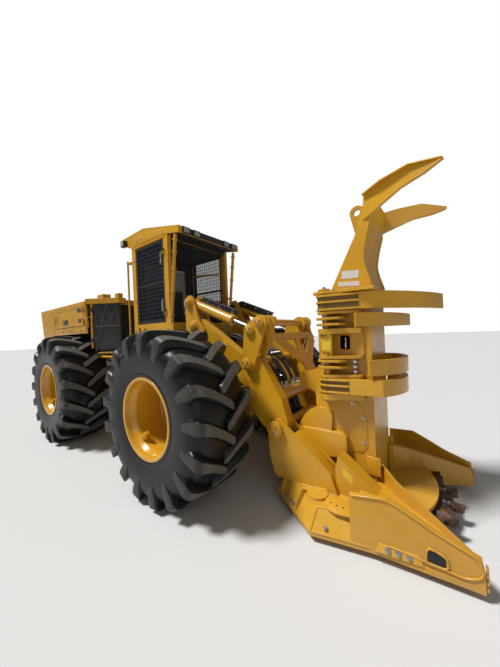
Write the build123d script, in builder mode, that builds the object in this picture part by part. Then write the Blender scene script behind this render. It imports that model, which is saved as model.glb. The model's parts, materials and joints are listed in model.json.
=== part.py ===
from build123d import *
import math
import os

# Wheeled feller buncher: two box frames joined by a steering hinge, four lugged tyres, a mesh-sided
# cab, a lift boom with tilt linkage, and a disc-saw felling head with gathering arms.
# Millimetres, +X forward, +Y to the machine's left, +Z up, ground at z = 0.
# Every x below is measured from the front axle and every z from the ground that the lugs sink into.
# FRONT_AXLE_X and SOFT_GROUND_Z place that datum in the part's frame, whose origin is the middle of
# the overall box on a hard floor.
FRONT_AXLE_X = 1100.0
SOFT_GROUND_Z = 35.0
WHEELBASE = 3044.0
STEER_X = -1520.0
AXLE_Z = 880.0
WHEEL_Y = 1100.0

RUN_GAP = 0.3
PLATE = 30.0
HINGE_HALF = 45.0
HINGE_PIN_R = 8.0
HINGE_COLLAR_R = 12.0

# Wheels
RIM_SEAT_R = 406.0
RIM_FLANGE_R = 430.0
RIM_HALF_WIDTH = 350.0
LUG_CROWN_R = 915.0
LUG_HALF_WIDTH = 380.0
HUB_R = 205.0
HUB_BOLTS = 12

# Boom pivots, side view (x, z)
ARM_PIVOT = (-213.0, 1834.0)
TILT_BASE = (-298.0, 2158.0)
CRANK_PIVOT = (684.0, 1376.0)
CRANK_ROD = (729.0, 1753.0)
CRANK_TOP = (870.0, 1831.0)
HEAD_PIVOT = (1028.0, 706.0)
LINK_FOOT = (1195.0, 1173.0)
LIFT_BASE = (-480.0, 1180.0)
LIFT_ROD = (667.0, 1049.0)
ARM_IN, ARM_OUT = 400.0, 520.0
FORK_IN, FORK_OUT = 390.0, 530.0
CYLINDER_Y = 460.0
TILT_PIN_R = 36.0
TILT_REACH = math.dist(TILT_BASE, CRANK_ROD)
TILT_BORE_R = 50.0
ROD_R = 34.0

# Tow eye and lifting eye
TOW_X = -4785.0
TOW_HOLE_R = 30.0
EYE_POINT = (1775.0, 2925.0)
EYE_HOLE_R = 35.0

# Cab
CAB_HALF = 620.0
CAB_REAR_X = -1610.0
CAB_FLOOR_Z = 1300.0
DOOR_BOTTOM_Z = 1925.0
DOOR_TOP_Z = 3140.0
DOOR_FRONT_X = -740.0
DOOR_REAR_X = -1500.0
DOOR_HINGE = (-728.0, 636.0)
DOOR_HINGE_Z = (2080.0, 2950.0)

# Hood and engine bay
HOOD_TOP_Z = 2380.0
HOOD_HINGE = (-2488.0, 1062.0)
HOOD_HINGE_Z = (2020.0, 2240.0)
MESH_HINGE = (-2385.0, 960.0)
MESH_HINGE_Z = (1680.0, 2200.0)
MESH_POST_R = 20.0
GRILLE_HINGE = (-4843.0, 812.0)
GRILLE_HINGE_Z = (1820.0, 2180.0)

# Felling head
DISC_X = 1830.0
DISC_TIP_R = 735.0
DISC_Z = 118.0
DISC_THICK = 34.0
TOOTH_COUNT = 18
SPINDLE_R = 60.0
MAST_REAR_X = 1370.0
MAST_FRONT_X = 1935.0
MAST_HALF = 290.0
ARM_PIN_X = 1545.0
ARM_PIN_Y = 400.0
ARM_PIN_R = 30.0
EAR_IN = 125.0
LINK_EAR = [(1120, 1100), (1112, 1210), (1160, 1262), (1250, 1275), (1450, 1330), (1450, 990)]
LINK_PIN_R = 30.0


DATUM = (FRONT_AXLE_X, 0, SOFT_GROUND_Z)
SIDE_VIEW = Plane(origin=DATUM, x_dir=(1, 0, 0), z_dir=(0, -1, 0))
PLAN_VIEW = Plane(origin=DATUM)
END_VIEW = Plane(origin=DATUM, x_dir=(0, 1, 0), z_dir=(1, 0, 0))


def at(x, y, z):
    """A point in the part's frame from one measured at the datum."""
    return Vector(FRONT_AXLE_X + x, y, SOFT_GROUND_Z + z)


def plate(points, y_low, y_high, mode=Mode.ADD):
    """A piece with a side-view outline of (x, z) points, from y_low to y_high."""
    with BuildSketch(SIDE_VIEW.offset(-y_high)) as outline:
        with BuildLine():
            Polyline(*points, close=True)
        make_face()
    extrude(outline.sketch, amount=y_high - y_low, mode=mode)


def slab(points, z_low, z_high, mode=Mode.ADD):
    """A piece with a plan outline of (x, y) points, from z_low to z_high."""
    with BuildSketch(PLAN_VIEW.offset(z_low)) as outline:
        with BuildLine():
            Polyline(*points, close=True)
        make_face()
    extrude(outline.sketch, amount=z_high - z_low, mode=mode)


def block(x_low, x_high, y_low, y_high, z_low, z_high, mode=Mode.ADD):
    """A box between two corners."""
    with Locations(at((x_low + x_high) / 2, (y_low + y_high) / 2, (z_low + z_high) / 2)):
        Box(x_high - x_low, y_high - y_low, z_high - z_low, mode=mode)


def cross_rod(point, y_low, y_high, radius, mode=Mode.ADD):
    """A round bar along Y through a side-view point (x, z)."""
    with Locations(at(point[0], (y_low + y_high) / 2, point[1])):
        Cylinder(radius, y_high - y_low, rotation=(90, 0, 0), mode=mode)


def post(x, y, z_low, z_high, radius, mode=Mode.ADD):
    """A round bar along Z."""
    with Locations(at(x, y, (z_low + z_high) / 2)):
        Cylinder(radius, z_high - z_low, mode=mode)


def bar(start, end, radius, mode=Mode.ADD):
    """A round bar between two points."""
    foot = at(*start)
    top = at(*end)
    with BuildSketch(Plane(origin=foot, z_dir=top - foot)) as section:
        Circle(radius)
    extrude(section.sketch, amount=(top - foot).length, mode=mode)


def link(circles, y_low, y_high, mode=Mode.ADD):
    """A plate wrapped tightly around side-view circles (x, z, radius)."""
    with BuildSketch(SIDE_VIEW.offset(-y_high)) as outline:
        for x, z, radius in circles:
            with Locations((x, z)):
                Circle(radius)
        make_hull()
    extrude(outline.sketch, amount=y_high - y_low, mode=mode)


def along(start, end, distance):
    """The side-view point at a distance from start towards end."""
    reach = math.dist(start, end)
    return tuple(a + (b - a) * distance / reach for a, b in zip(start, end))


def beyond(point, y):
    """A side-view point set at a width."""
    return (point[0], y, point[1])


def hinge_pin(x, y, heights, wall_x, wall_y):
    """The fixed half of a door's hinges: pins standing in collars, with leaves to the wall."""
    for z in heights:
        post(x, y, z - HINGE_HALF, z + HINGE_HALF, HINGE_PIN_R)
        post(x, y, z - HINGE_HALF, z - RUN_GAP, HINGE_COLLAR_R)
        block(*sorted((x, wall_x)), *sorted((y, wall_y)), z - HINGE_HALF, z - RUN_GAP)


def hinge_sleeve(x, y, heights, leaves):
    """The door's half of its hinges: sleeves with leaves, each leaf a plan box."""
    for z in heights:
        post(x, y, z, z + HINGE_HALF, HINGE_COLLAR_R)
        for x_low, x_high, y_near, y_far in leaves:
            block(x_low, x_high, *sorted((y_near, y_far)), z, z + HINGE_HALF)
        post(x, y, z - 1, z + HINGE_HALF + 1, HINGE_PIN_R + RUN_GAP, mode=Mode.SUBTRACT)


os.makedirs("parts", exist_ok=True)


def save(piece, name):
    """Label a piece and write it."""
    piece.label = name
    export_step(piece, f"parts/{name}.step")


# Tyre: ring out to the lugs' tips, wheel axis along Y, outer side at -Y
with BuildPart() as tyre:
    with BuildSketch(Plane.XY):
        with BuildLine():
            Polyline(
                (RIM_SEAT_R + RUN_GAP, -332), (RIM_FLANGE_R + 14, -342), (700, -LUG_HALF_WIDTH),
                (880, -345), (LUG_CROWN_R, -240), (LUG_CROWN_R, 240), (880, 345),
                (700, LUG_HALF_WIDTH), (RIM_FLANGE_R + 14, 342), (RIM_SEAT_R + RUN_GAP, 332),
                close=True,
            )
        make_face()
    revolve(axis=Axis.Y)

# Rim: barrel, two flanges, dished disc, hub cap with a ring of bolts
with BuildPart() as rim:
    with BuildSketch(Plane.XY):
        with BuildLine():
            Polyline(
                (RIM_SEAT_R, -RIM_HALF_WIDTH + 18), (RIM_FLANGE_R, -RIM_HALF_WIDTH + 8),
                (RIM_FLANGE_R, -RIM_HALF_WIDTH), (400, -RIM_HALF_WIDTH), (388, -290), (352, -230),
                (352, 70), (HUB_R, 95), (0, 95), (0, 120), (HUB_R, 120), (358, 110), (360, 205),
                (388, 290),
                (400, RIM_HALF_WIDTH), (RIM_FLANGE_R, RIM_HALF_WIDTH),
                (RIM_FLANGE_R, RIM_HALF_WIDTH - 8), (RIM_SEAT_R, RIM_HALF_WIDTH - 18),
                (RIM_SEAT_R, 250), (372, 200), (372, -200), (RIM_SEAT_R, -250), close=True,
            )
        make_face()
    revolve(axis=Axis.Y)
    with Locations((0, 62, 0)):
        Cylinder(HUB_R + 20, 65, rotation=(90, 0, 0))
    with Locations((0, 15, 0)):
        Cylinder(HUB_R - 60, 50, rotation=(90, 0, 0))
    for index in range(HUB_BOLTS):
        turn = math.radians(360 / HUB_BOLTS * index)
        with Locations(((HUB_R - 12) * math.cos(turn), 22, (HUB_R - 12) * math.sin(turn))):
            Cylinder(14, 30, rotation=(90, 0, 0))
    with Locations((0, 110, 0)):
        Cylinder(70 + RUN_GAP, 25, rotation=(90, 0, 0), mode=Mode.SUBTRACT)

# name, x of the axle, side (-1 right, 1 left)
WHEELS = [
    ("front_right", 0.0, -1),
    ("front_left", 0.0, 1),
    ("rear_right", -WHEELBASE, -1),
    ("rear_left", -WHEELBASE, 1),
]
for name, axle_x, hand in WHEELS:
    for kind, shape in (("tyre", tyre.part), ("rim", rim.part)):
        with BuildPart() as wheel:
            with Locations(at(axle_x, hand * WHEEL_Y, AXLE_Z)):
                add(shape if hand < 0 else mirror(shape, about=Plane.XZ, mode=Mode.PRIVATE))
        save(wheel.part, f"{kind}_{name}")

# Axles: differential housing, tapering arms, planetary ends inside the rims
for name, axle_x in (("front_axle", 0.0), ("rear_axle", -WHEELBASE)):
    with BuildPart() as axle:
        cross_rod((axle_x, AXLE_Z), -760, 760, 122.7)
        cross_rod((axle_x, AXLE_Z), -230, 230, 225)
        bar((axle_x - 330, 0, AXLE_Z), (axle_x + 250, 0, AXLE_Z), 170)
        cross_rod((axle_x, AXLE_Z), -WHEEL_Y + 120 + RUN_GAP, -760, 175)
        cross_rod((axle_x, AXLE_Z), 760, WHEEL_Y - 120 - RUN_GAP, 175)
        cross_rod((axle_x, AXLE_Z), -WHEEL_Y + 102, WHEEL_Y - 102, 70)
        cross_rod((axle_x, AXLE_Z), -870, -840, 250)
        cross_rod((axle_x, AXLE_Z), 840, 870, 250)
    save(axle.part, name)

# Front frame: box chassis, upper and lower steering ears, twin towers with arm and tilt pins
TOWER = [
    (-600, 1003), (-600, 1250), (-470, 1500), (-373, 1640), (-373, 2190), (-335, 2250),
    (-262, 2262), (-205, 2200), (-130, 1990), (-95, 1900), (-20, 1790), (-40, 1650), (60, 1500),
    (150, 1290), (150, 1003),
]
with BuildPart() as front_frame:
    plate(
        [(-1240, 700), (-1240, 1299.7), (400, 1299.7), (520, 1100), (520, 700), (330, 560),
         (-1000, 560)],
        -FORK_IN + PLATE, FORK_IN - PLATE,
    )
    plate([(-1180, 760), (-1180, 1180), (-420, 1180), (-420, 760)], -300, 300, mode=Mode.SUBTRACT)
    cross_rod((0, AXLE_Z), -370, 370, 226, mode=Mode.SUBTRACT)
    block(-340, 280, -171, 171, 700, 1060, mode=Mode.SUBTRACT)
    for z_low in (640, 1150):
        block(-1600, -1230, -170, 170, z_low, z_low + 60)
    post(STEER_X, 0, 600, 1250, 60)
    for side in (-1, 1):
        for near, far in ((FORK_IN - PLATE, FORK_IN), (FORK_OUT, FORK_OUT + PLATE)):
            low, high = sorted((side * near, side * far))
            plate(TOWER, low, high)
        low, high = sorted((side * (FORK_IN - 60), side * (FORK_OUT + 60)))
        cross_rod(ARM_PIVOT, low, high, 45)
        cross_rod(TILT_BASE, low, high, TILT_PIN_R + RUN_GAP, mode=Mode.SUBTRACT)
        cross_rod(LIFT_BASE, low, high, 32)
        low, high = sorted((side * FORK_IN, side * FORK_OUT))
        block(-600, 150, low, high, 1003, 1035)
        block(-600, -570, low, high, 1035, 1290)
save(front_frame.part, "front_frame")

# Rear frame: box chassis, middle steering ears, bumper
with BuildPart() as rear_frame:
    plate(
        [(-1820, 690), (-1820, 1140), (-2100, 1260), (-4700, 1260), (-4700, 700), (-2100, 620)],
        -360, 360,
    )
    for z_low in (705, 1085):
        block(-1830, -1420, -150, 150, z_low, z_low + 60)
    post(STEER_X, 0, 600, 1250, 60 + RUN_GAP, mode=Mode.SUBTRACT)
    cross_rod((-WHEELBASE, AXLE_Z), -370, 370, 226, mode=Mode.SUBTRACT)
    block(-WHEELBASE - 340, -WHEELBASE + 260, -171, 171, 500, 1060, mode=Mode.SUBTRACT)
    block(-4830, -4250, -1000, 1000, 1180, 1420)
    block(-4845, -4690, -80, 80, 1080, 1120)
    post(TOW_X, 0, 1070, 1130, TOW_HOLE_R, mode=Mode.SUBTRACT)
save(rear_frame.part, "rear_frame")

# Engine as one plain block
with BuildPart() as engine:
    block(-3900, -2500, -400, 400, 1260.3, 2100)
save(engine.part, "engine_block")

# Rear hood: hollow, its sides lean in towards the bottom, square openings for the side doors
with BuildPart() as hood:
    with BuildSketch(END_VIEW.offset(-4830)):
        with BuildLine():
            Polyline((-1050, HOOD_TOP_Z), (1050, HOOD_TOP_Z), (1000, 1640), (-1000, 1640), close=True)
        make_face()
    extrude(amount=2400)
    with BuildSketch(END_VIEW.offset(-4800)) as inside:
        with BuildLine():
            Polyline((-1016, 2350), (1016, 2350), (966, 1600), (-966, 1600), close=True)
        make_face()
    extrude(inside.sketch, amount=2400, mode=Mode.SUBTRACT)
    block(-4200, -2400, -1200, 1200, 1600, 1930, mode=Mode.SUBTRACT)
    block(-4120, -2500, -1200, 1200, 1960, 2320, mode=Mode.SUBTRACT)
    block(-4250, -4200, -1000, 1000, 1421, 1700, mode=Mode.SUBTRACT)
    block(-4830, -4790, -800, 800, 1700, 2300, mode=Mode.SUBTRACT)
    block(-4810, -4200, -965, 965, 1420.3, 1660)
    hinge_pin(*GRILLE_HINGE, GRILLE_HINGE_Z, -4829, 824)
    for side in (-1, 1):
        hinge_pin(HOOD_HINGE[0], side * HOOD_HINGE[1], HOOD_HINGE_Z, -2470, side * 1015)
save(hood.part, "rear_hood")

# Engine bay between hood and cab: deck, side wings, top rails, round hinge posts
with BuildPart() as bay:
    block(-2429.7, -2200, -560, 560, 1260.3, 2350)
    block(-2440, -2220, -540, 540, 1282, 2330, mode=Mode.SUBTRACT)
    slab([(-2429.7, -1040), (-2429.7, 1040), (-1975, 690), (-1975, 560), (-2200, 560), (-2200, -560),
          (-1975, -560), (-1975, -690)], 2330, 2420)
    for side in (-1, 1):
        block(-2400, -2180, *sorted((side * 720, side * 850)), 2420, 2490)
        block(-2120, -2000, *sorted((side * 600, side * 680)), 2420, 2500)
        slab([(-2310, side * 915), (-1975, side * 665), (-1975, side * 560), (-2310, side * 560)],
             1470, 1500)
        post(MESH_HINGE[0], side * MESH_HINGE[1], 1570, 2331, MESH_POST_R)
        slab([(-2429.7, side * 560), (-2429.7, side * 900), (-2405, side * 900), (-2405, side * 560)],
             1580, 2330)
save(bay.part, "engine_bay")

# Hood side doors and mesh doors
for name, side in (("right", -1), ("left", 1)):
    with BuildPart() as hood_door:
        with BuildSketch(END_VIEW.offset(-4115)) as section:
            with BuildLine():
                Polyline(
                    (side * 1047, 2315), (side * 1024, 1965), (side * 996, 1965), (side * 1019, 2315),
                    close=True,
                )
            make_face()
        extrude(section.sketch, amount=1610)
        x, y = HOOD_HINGE
        hinge_sleeve(x, side * y, HOOD_HINGE_Z,
                     [(x - 16, x, side * (y - 10), side * (y + 12)),
                      (x - 40, x - 14, side * (y - 50), side * (y + 12))])
    save(hood_door.part, f"hood_door_{name}")
    with BuildPart() as mesh_door:
        slab([(-2343, side * 942), (-1985, side * 672), (-2004, side * 650), (-2361, side * 919)],
             1530, 2325)
        for z in MESH_HINGE_Z:
            post(MESH_HINGE[0], side * MESH_HINGE[1], z, z + 60, MESH_POST_R + 12)
            slab([(-2380, side * 975), (-2325, side * 930), (-2345, side * 904), (-2400, side * 945)],
                 z, z + 60)
        post(MESH_HINGE[0], side * MESH_HINGE[1], 1600, 2300, MESH_POST_R + RUN_GAP, mode=Mode.SUBTRACT)
    save(mesh_door.part, f"mesh_door_{name}")

# Rear grille door
with BuildPart() as grille:
    block(-4825, -4800, -795, 795, 1705, 2295)
    hinge_sleeve(*GRILLE_HINGE, GRILLE_HINGE_Z, [(-4850, -4836, 775, 812), (-4837, -4824, 775, 794)])
save(grille.part, "rear_grille")

# Exhaust and intake caps on the hood
with BuildPart() as stack:
    post(-2900, 450, HOOD_TOP_Z + RUN_GAP, 2405, 60)
    block(-2990, -2810, 370, 530, 2405, 2430)
save(stack.part, "exhaust_stack")

# Cab base: floor, sill walls, lower front panel, side frame with slot and round hole
with BuildPart() as cab_base:
    block(CAB_REAR_X, -580, -CAB_HALF, CAB_HALF, CAB_FLOOR_Z, 1915)
    block(CAB_REAR_X + 30, -610, -CAB_HALF + 30, CAB_HALF - 30, CAB_FLOOR_Z + 30, 1925, mode=Mode.SUBTRACT)
    for side in (-1, 1):
        low, high = sorted((side * (CAB_HALF - 40), side * (CAB_HALF + 10)))
        block(-1480, -1430, low, high, 1750, 1870, mode=Mode.SUBTRACT)
        cross_rod((-1300, 1830), low, high, 30, mode=Mode.SUBTRACT)
save(cab_base.part, "cab_base")

# Cab frame: corner posts and headers, rear wall with its window opening
with BuildPart() as cab_frame:
    block(CAB_REAR_X, -640, -CAB_HALF, CAB_HALF, 1915, 3180)
    block(CAB_REAR_X + 40, -400, -CAB_HALF + 60, CAB_HALF - 60, 1900, 3130, mode=Mode.SUBTRACT)
    block(DOOR_REAR_X, DOOR_FRONT_X, -CAB_HALF - 10, CAB_HALF + 10, DOOR_BOTTOM_Z, DOOR_TOP_Z,
          mode=Mode.SUBTRACT)
    block(CAB_REAR_X - 10, CAB_REAR_X + 60, -420, 420, 2150, 2950, mode=Mode.SUBTRACT)
    for side in (-1, 1):
        hinge_pin(DOOR_HINGE[0], side * DOOR_HINGE[1], DOOR_HINGE_Z, -712, side * 615)
save(cab_frame.part, "cab_frame")

# Roof: sloped shell with overhang
ROOF = [(-375, 3230), (-1240, 3415), (-1880, 3390), (-1880, 3290), (-1610, 3180), (-640, 3180), (-375, 3130)]
with BuildPart() as roof:
    plate(ROOF, -625, 625)
save(roof.part, "cab_roof")

# Front lamps
with BuildPart() as lamps:
    for y in (-500, -310, 500):
        block(-374.7, -350, y - 45, y + 45, 3150, 3215)
    block(-374.7, -366, -545, 545, 3140, 3226)
save(lamps.part, "front_lamps")

# Windshield and seat
with BuildPart() as windshield:
    block(-660, -648, -559.7, 559.7, 1915.3, 3129.7)
save(windshield.part, "windshield")
with BuildPart() as seat:
    block(-1420, -900, -260, 260, 1750, 1880)
    block(-1470, -1370, -250, 250, 1880, 2550)
    block(-1300, -1000, -150, 150, 1330.5, 1750)
save(seat.part, "seat")

# Cab doors
for name, side in (("right", -1), ("left", 1)):
    with BuildPart() as door:
        low, high = sorted((side * (CAB_HALF - 45), side * (CAB_HALF - 5)))
        block(DOOR_REAR_X + 6, DOOR_FRONT_X - 6, low, high, DOOR_BOTTOM_Z + 6, DOOR_TOP_Z - 6)
        block(DOOR_REAR_X + 50, DOOR_FRONT_X - 50, low, high, DOOR_BOTTOM_Z + 50, DOOR_TOP_Z - 50,
              mode=Mode.SUBTRACT)
        low, high = sorted((side * (CAB_HALF - 30), side * (CAB_HALF - 20)))
        block(DOOR_REAR_X + 50, DOOR_FRONT_X - 50, low, high, DOOR_BOTTOM_Z + 50, DOOR_TOP_Z - 50)
        x, y = DOOR_HINGE
        hinge_sleeve(x, side * y, DOOR_HINGE_Z,
                     [(x - 16, x, side * (y - 10), side * (y + 10)),
                      (x - 44, x - 18, side * (y - 40), side * (y + 10)),
                      (x - 20, x - 14, side * (y - 10), side * (y + 10))])
    save(door.part, f"cab_door_{name}")

# Grab rails behind the doors
with BuildPart() as rails:
    for side in (-1, 1):
        post(-1690, side * 650, 1660, 2980, 15)
        block(-1700, CAB_REAR_X - RUN_GAP, *sorted((side * 600, side * 655)), 2930, 2960)
        block(-1700, CAB_REAR_X - RUN_GAP, *sorted((side * 600, side * 655)), 1700, 1730)
save(rails.part, "cab_rails")

# Lift arms: two bent arms, cross tube
LIFT_ARM = [
    (-300, 1780), (-290, 1900), (-213, 1944), (-100, 1932), (397, 1586), (560, 1480), (640, 1486),
    (806, 1428), (858, 1374), (955, 1216), (1083, 1006), (1148, 780), (1128, 660), (1028, 600),
    (940, 620), (824, 700), (600, 960), (560, 1130), (430, 1210), (200, 1330), (0, 1500), (-160, 1730),
]
with BuildPart() as lift_arms:
    for side in (-1, 1):
        low, high = sorted((side * ARM_IN, side * ARM_OUT))
        plate(LIFT_ARM, low, high)
        for pivot, radius in ((ARM_PIVOT, 45), (CRANK_PIVOT, 50), (HEAD_PIVOT, 50)):
            cross_rod(pivot, low, high, radius + RUN_GAP, mode=Mode.SUBTRACT)
        cross_rod(LIFT_ROD, low - 12, high + 12, 45)
        block(520, 770, low + 25, high - 25, 940, 1160, mode=Mode.SUBTRACT)
    cross_rod((905, 990), -ARM_IN, ARM_IN, 90)
save(lift_arms.part, "lift_arms")

# Cylinders: name, base point, rod point, pin radius, barrel length, bore radius, bore start, rod start
CYLINDERS = [
    ("lift", LIFT_BASE, LIFT_ROD, 32, 950, ROD_R + RUN_GAP, 220, 514),
    ("tilt", TILT_BASE, CRANK_ROD, TILT_PIN_R, 765, TILT_BORE_R, 85, 360),
]
for kind, base, tip, pin_r, barrel_length, bore_r, bore_start, rod_start in CYLINDERS:
    for name, side in (("right", -1), ("left", 1)):
        y = side * CYLINDER_Y
        with BuildPart() as barrel:
            bar(beyond(along(base, tip, 60), y), beyond(along(base, tip, barrel_length), y), 62)
            cross_rod(base, y - 50, y + 50, 66)
            cross_rod(base, y - 51, y + 51, pin_r + RUN_GAP, mode=Mode.SUBTRACT)
            bar(beyond(along(base, tip, bore_start), y), beyond(along(base, tip, barrel_length - 20), y),
                bore_r, mode=Mode.SUBTRACT)
            bar(beyond(along(base, tip, bore_start), y), beyond(along(base, tip, barrel_length + 10), y),
                ROD_R + RUN_GAP, mode=Mode.SUBTRACT)
        save(barrel.part, f"{kind}_barrel_{name}")
        with BuildPart() as rod:
            reach = math.dist(base, tip)
            bar(beyond(along(base, tip, rod_start), y), beyond(along(base, tip, reach - 45), y), ROD_R)
            cross_rod(tip, y - 30, y + 30, 62)
        save(rod.part, f"{kind}_rod_{name}")

# Tilt cylinder guards: base pin, and a strap from it to an angle rail beside the barrel
def above_barrel(distance, height):
    """Point of the side view beside the tilt barrel, by distance from its pin and height off its axis."""
    x, z = along(TILT_BASE, CRANK_ROD, distance)
    return (x - (CRANK_ROD[1] - TILT_BASE[1]) / TILT_REACH * height,
            z + (CRANK_ROD[0] - TILT_BASE[0]) / TILT_REACH * height)


for name, side in (("right", -1), ("left", 1)):
    with BuildPart() as guard:
        cross_rod(TILT_BASE, *sorted((side * (FORK_IN - 60), side * (FORK_OUT + 60))), TILT_PIN_R)
        low, high = sorted((side * (FORK_IN + 1.5), side * (FORK_IN + 6.5)))
        link([(*TILT_BASE, 58), (*above_barrel(130, 85), 40)], low, high)
        low, high = sorted((side * (FORK_IN + 1.5), side * (FORK_IN + 13)))
        plate([above_barrel(110, 45), above_barrel(740, 45), above_barrel(740, 130),
               above_barrel(110, 130)], low, high)
        low, high = sorted((side * (FORK_IN + 1.5), side * (FORK_IN + 50)))
        plate([above_barrel(110, 121), above_barrel(740, 121), above_barrel(740, 130),
               above_barrel(110, 130)], low, high)
    save(guard.part, f"tilt_guard_{name}")
    with BuildPart() as piston:
        y = side * CYLINDER_Y
        bar(beyond(along(TILT_BASE, CRANK_ROD, 380), y), beyond(along(TILT_BASE, CRANK_ROD, 500), y),
            TILT_BORE_R - RUN_GAP)
        bar(beyond(along(TILT_BASE, CRANK_ROD, 379), y), beyond(along(TILT_BASE, CRANK_ROD, 501), y),
            ROD_R + RUN_GAP, mode=Mode.SUBTRACT)
    save(piston.part, f"tilt_piston_{name}")

# Crank shaft, bell cranks, link shaft, tilt link
with BuildPart() as crank_shaft:
    cross_rod(CRANK_PIVOT, -590, 590, 50)
save(crank_shaft.part, "crank_shaft")
CRANK = [(*CRANK_PIVOT, 88), (*CRANK_ROD, 80), (*CRANK_TOP, 84)]
for name, side in (("right", -1), ("left", 1)):
    with BuildPart() as crank:
        for near, far in ((FORK_IN - PLATE, FORK_IN), (FORK_OUT, FORK_OUT + PLATE)):
            link(CRANK, *sorted((side * near, side * far)))
        cross_rod((735, 1575), *sorted((side * FORK_IN, side * FORK_OUT)), 40)
        cross_rod(CRANK_PIVOT, *sorted((side * 350, side * 570)), 50 + RUN_GAP, mode=Mode.SUBTRACT)
        cross_rod(CRANK_TOP, *sorted((side * 350, side * 570)), 40 + RUN_GAP, mode=Mode.SUBTRACT)
        cross_rod(CRANK_ROD, *sorted((side * FORK_OUT, side * 580)), 45)
    save(crank.part, f"bell_crank_{name}")
with BuildPart() as link_shaft:
    cross_rod(CRANK_TOP, -590, 590, 40)
save(link_shaft.part, "link_shaft")
LINK_REACH = math.dist(CRANK_TOP, LINK_FOOT)
LINK_DIR = ((LINK_FOOT[0] - CRANK_TOP[0]) / LINK_REACH, (LINK_FOOT[1] - CRANK_TOP[1]) / LINK_REACH)
link_plane = Plane(
    origin=at(CRANK_TOP[0], 0, CRANK_TOP[1]),
    x_dir=(0, 1, 0),
    z_dir=(LINK_DIR[1], 0, -LINK_DIR[0]),
)
with BuildPart() as tilt_link:
    with BuildSketch(link_plane.offset(-48)):
        with BuildLine():
            Polyline((-490, 162), (490, 162), (490, 240), (105, 575), (105, LINK_REACH - 30),
                     (-105, LINK_REACH - 30), (-105, 575), (-490, 240), close=True)
        make_face()
        for side in (-1, 1):
            with BuildLine():
                Polyline((side * 40, 245), (side * 300, 245), (side * 60, 440), close=True)
            make_face(mode=Mode.SUBTRACT)
    extrude(amount=28)
    for side in (-1, 1):
        low, high = sorted((side * 430, side * 490))
        near = along(CRANK_TOP, LINK_FOOT, 190)
        link([(*CRANK_TOP, 78), (*near, 45)], low, high)
        cross_rod(CRANK_TOP, low, high, 40 + RUN_GAP, mode=Mode.SUBTRACT)
    cross_rod(LINK_FOOT, -115, 115, 72)
    cross_rod(LINK_FOOT, -116, 116, 48, mode=Mode.SUBTRACT)
save(tilt_link.part, "tilt_link")
with BuildPart() as head_shaft:
    cross_rod(HEAD_PIVOT, -600, 600, 50)
save(head_shaft.part, "head_shaft")

# Felling head, horns: a sloping deck between two upright flanges, either side of the throat
HORN_DECK = [(1850, 20), (1850, 310), (1980, 300), (2630, 190), (2660, 85), (2652, 20)]
HORN_INNER = [(1850, 20), (1850, 480), (1990, 450), (2110, 400), (2620, 205), (2660, 85), (2652, 20)]
HORN_OUTER = [
    (1850, 20), (1850, 440), (2107, 466), (2280, 386), (2415, 317), (2634, 243), (2660, 85), (2652, 20),
]
with BuildPart() as horn_deck:
    slab([(1941, 240), (1990, 240), (2110, 370), (2655, 690), (2650, 740), (2360, 755), (2020, 800),
          (1850, 830), (1850, 300), (1941, 300)], 20, 480)
    plate(HORN_DECK, 200, 850, mode=Mode.INTERSECT)
with BuildPart() as horn_inner:
    slab([(1941, 225), (1990, 240), (2110, 370), (2655, 690), (2650, 716), (2098, 392), (1978, 266),
          (1941, 252)], 20, 480)
    plate(HORN_INNER, 200, 850, mode=Mode.INTERSECT)
with BuildPart() as horn_outer:
    slab([(1850, 800), (2020, 775), (2360, 730), (2650, 715), (2650, 740), (2360, 755), (2020, 800),
          (1850, 828)], 20, 480)
    plate(HORN_OUTER, 200, 850, mode=Mode.INTERSECT)

# Felling head, base: sole plate, bevelled deck, disc cover and the plates that hang on the head shaft
SOLE_RIGHT = [
    (2060, -240), (2130, -380), (2655, -690), (2650, -740), (2010, -800), (1545, -905), (1010, -550),
    (900, -210),
]
BEVEL_FOOT = [(2010, -800), (1545, -905), (1010, -550), (900, -210)]
DECK_Z = 210.0
DISC_CUT_R = DISC_TIP_R + 20
HEAD_SIDE = [
    (1028, 812), (1085, 800), (1330, 610), (1600, 385), (1660, DECK_Z), (1000, DECK_Z), (938, 400),
    (925, 660), (945, 760),
]


def both_sides(right_half):
    """A counter-clockwise plan outline from its right half, given front to back, and that half's mirror."""
    return [(x, -y) for x, y in right_half] + right_half[::-1]


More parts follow.
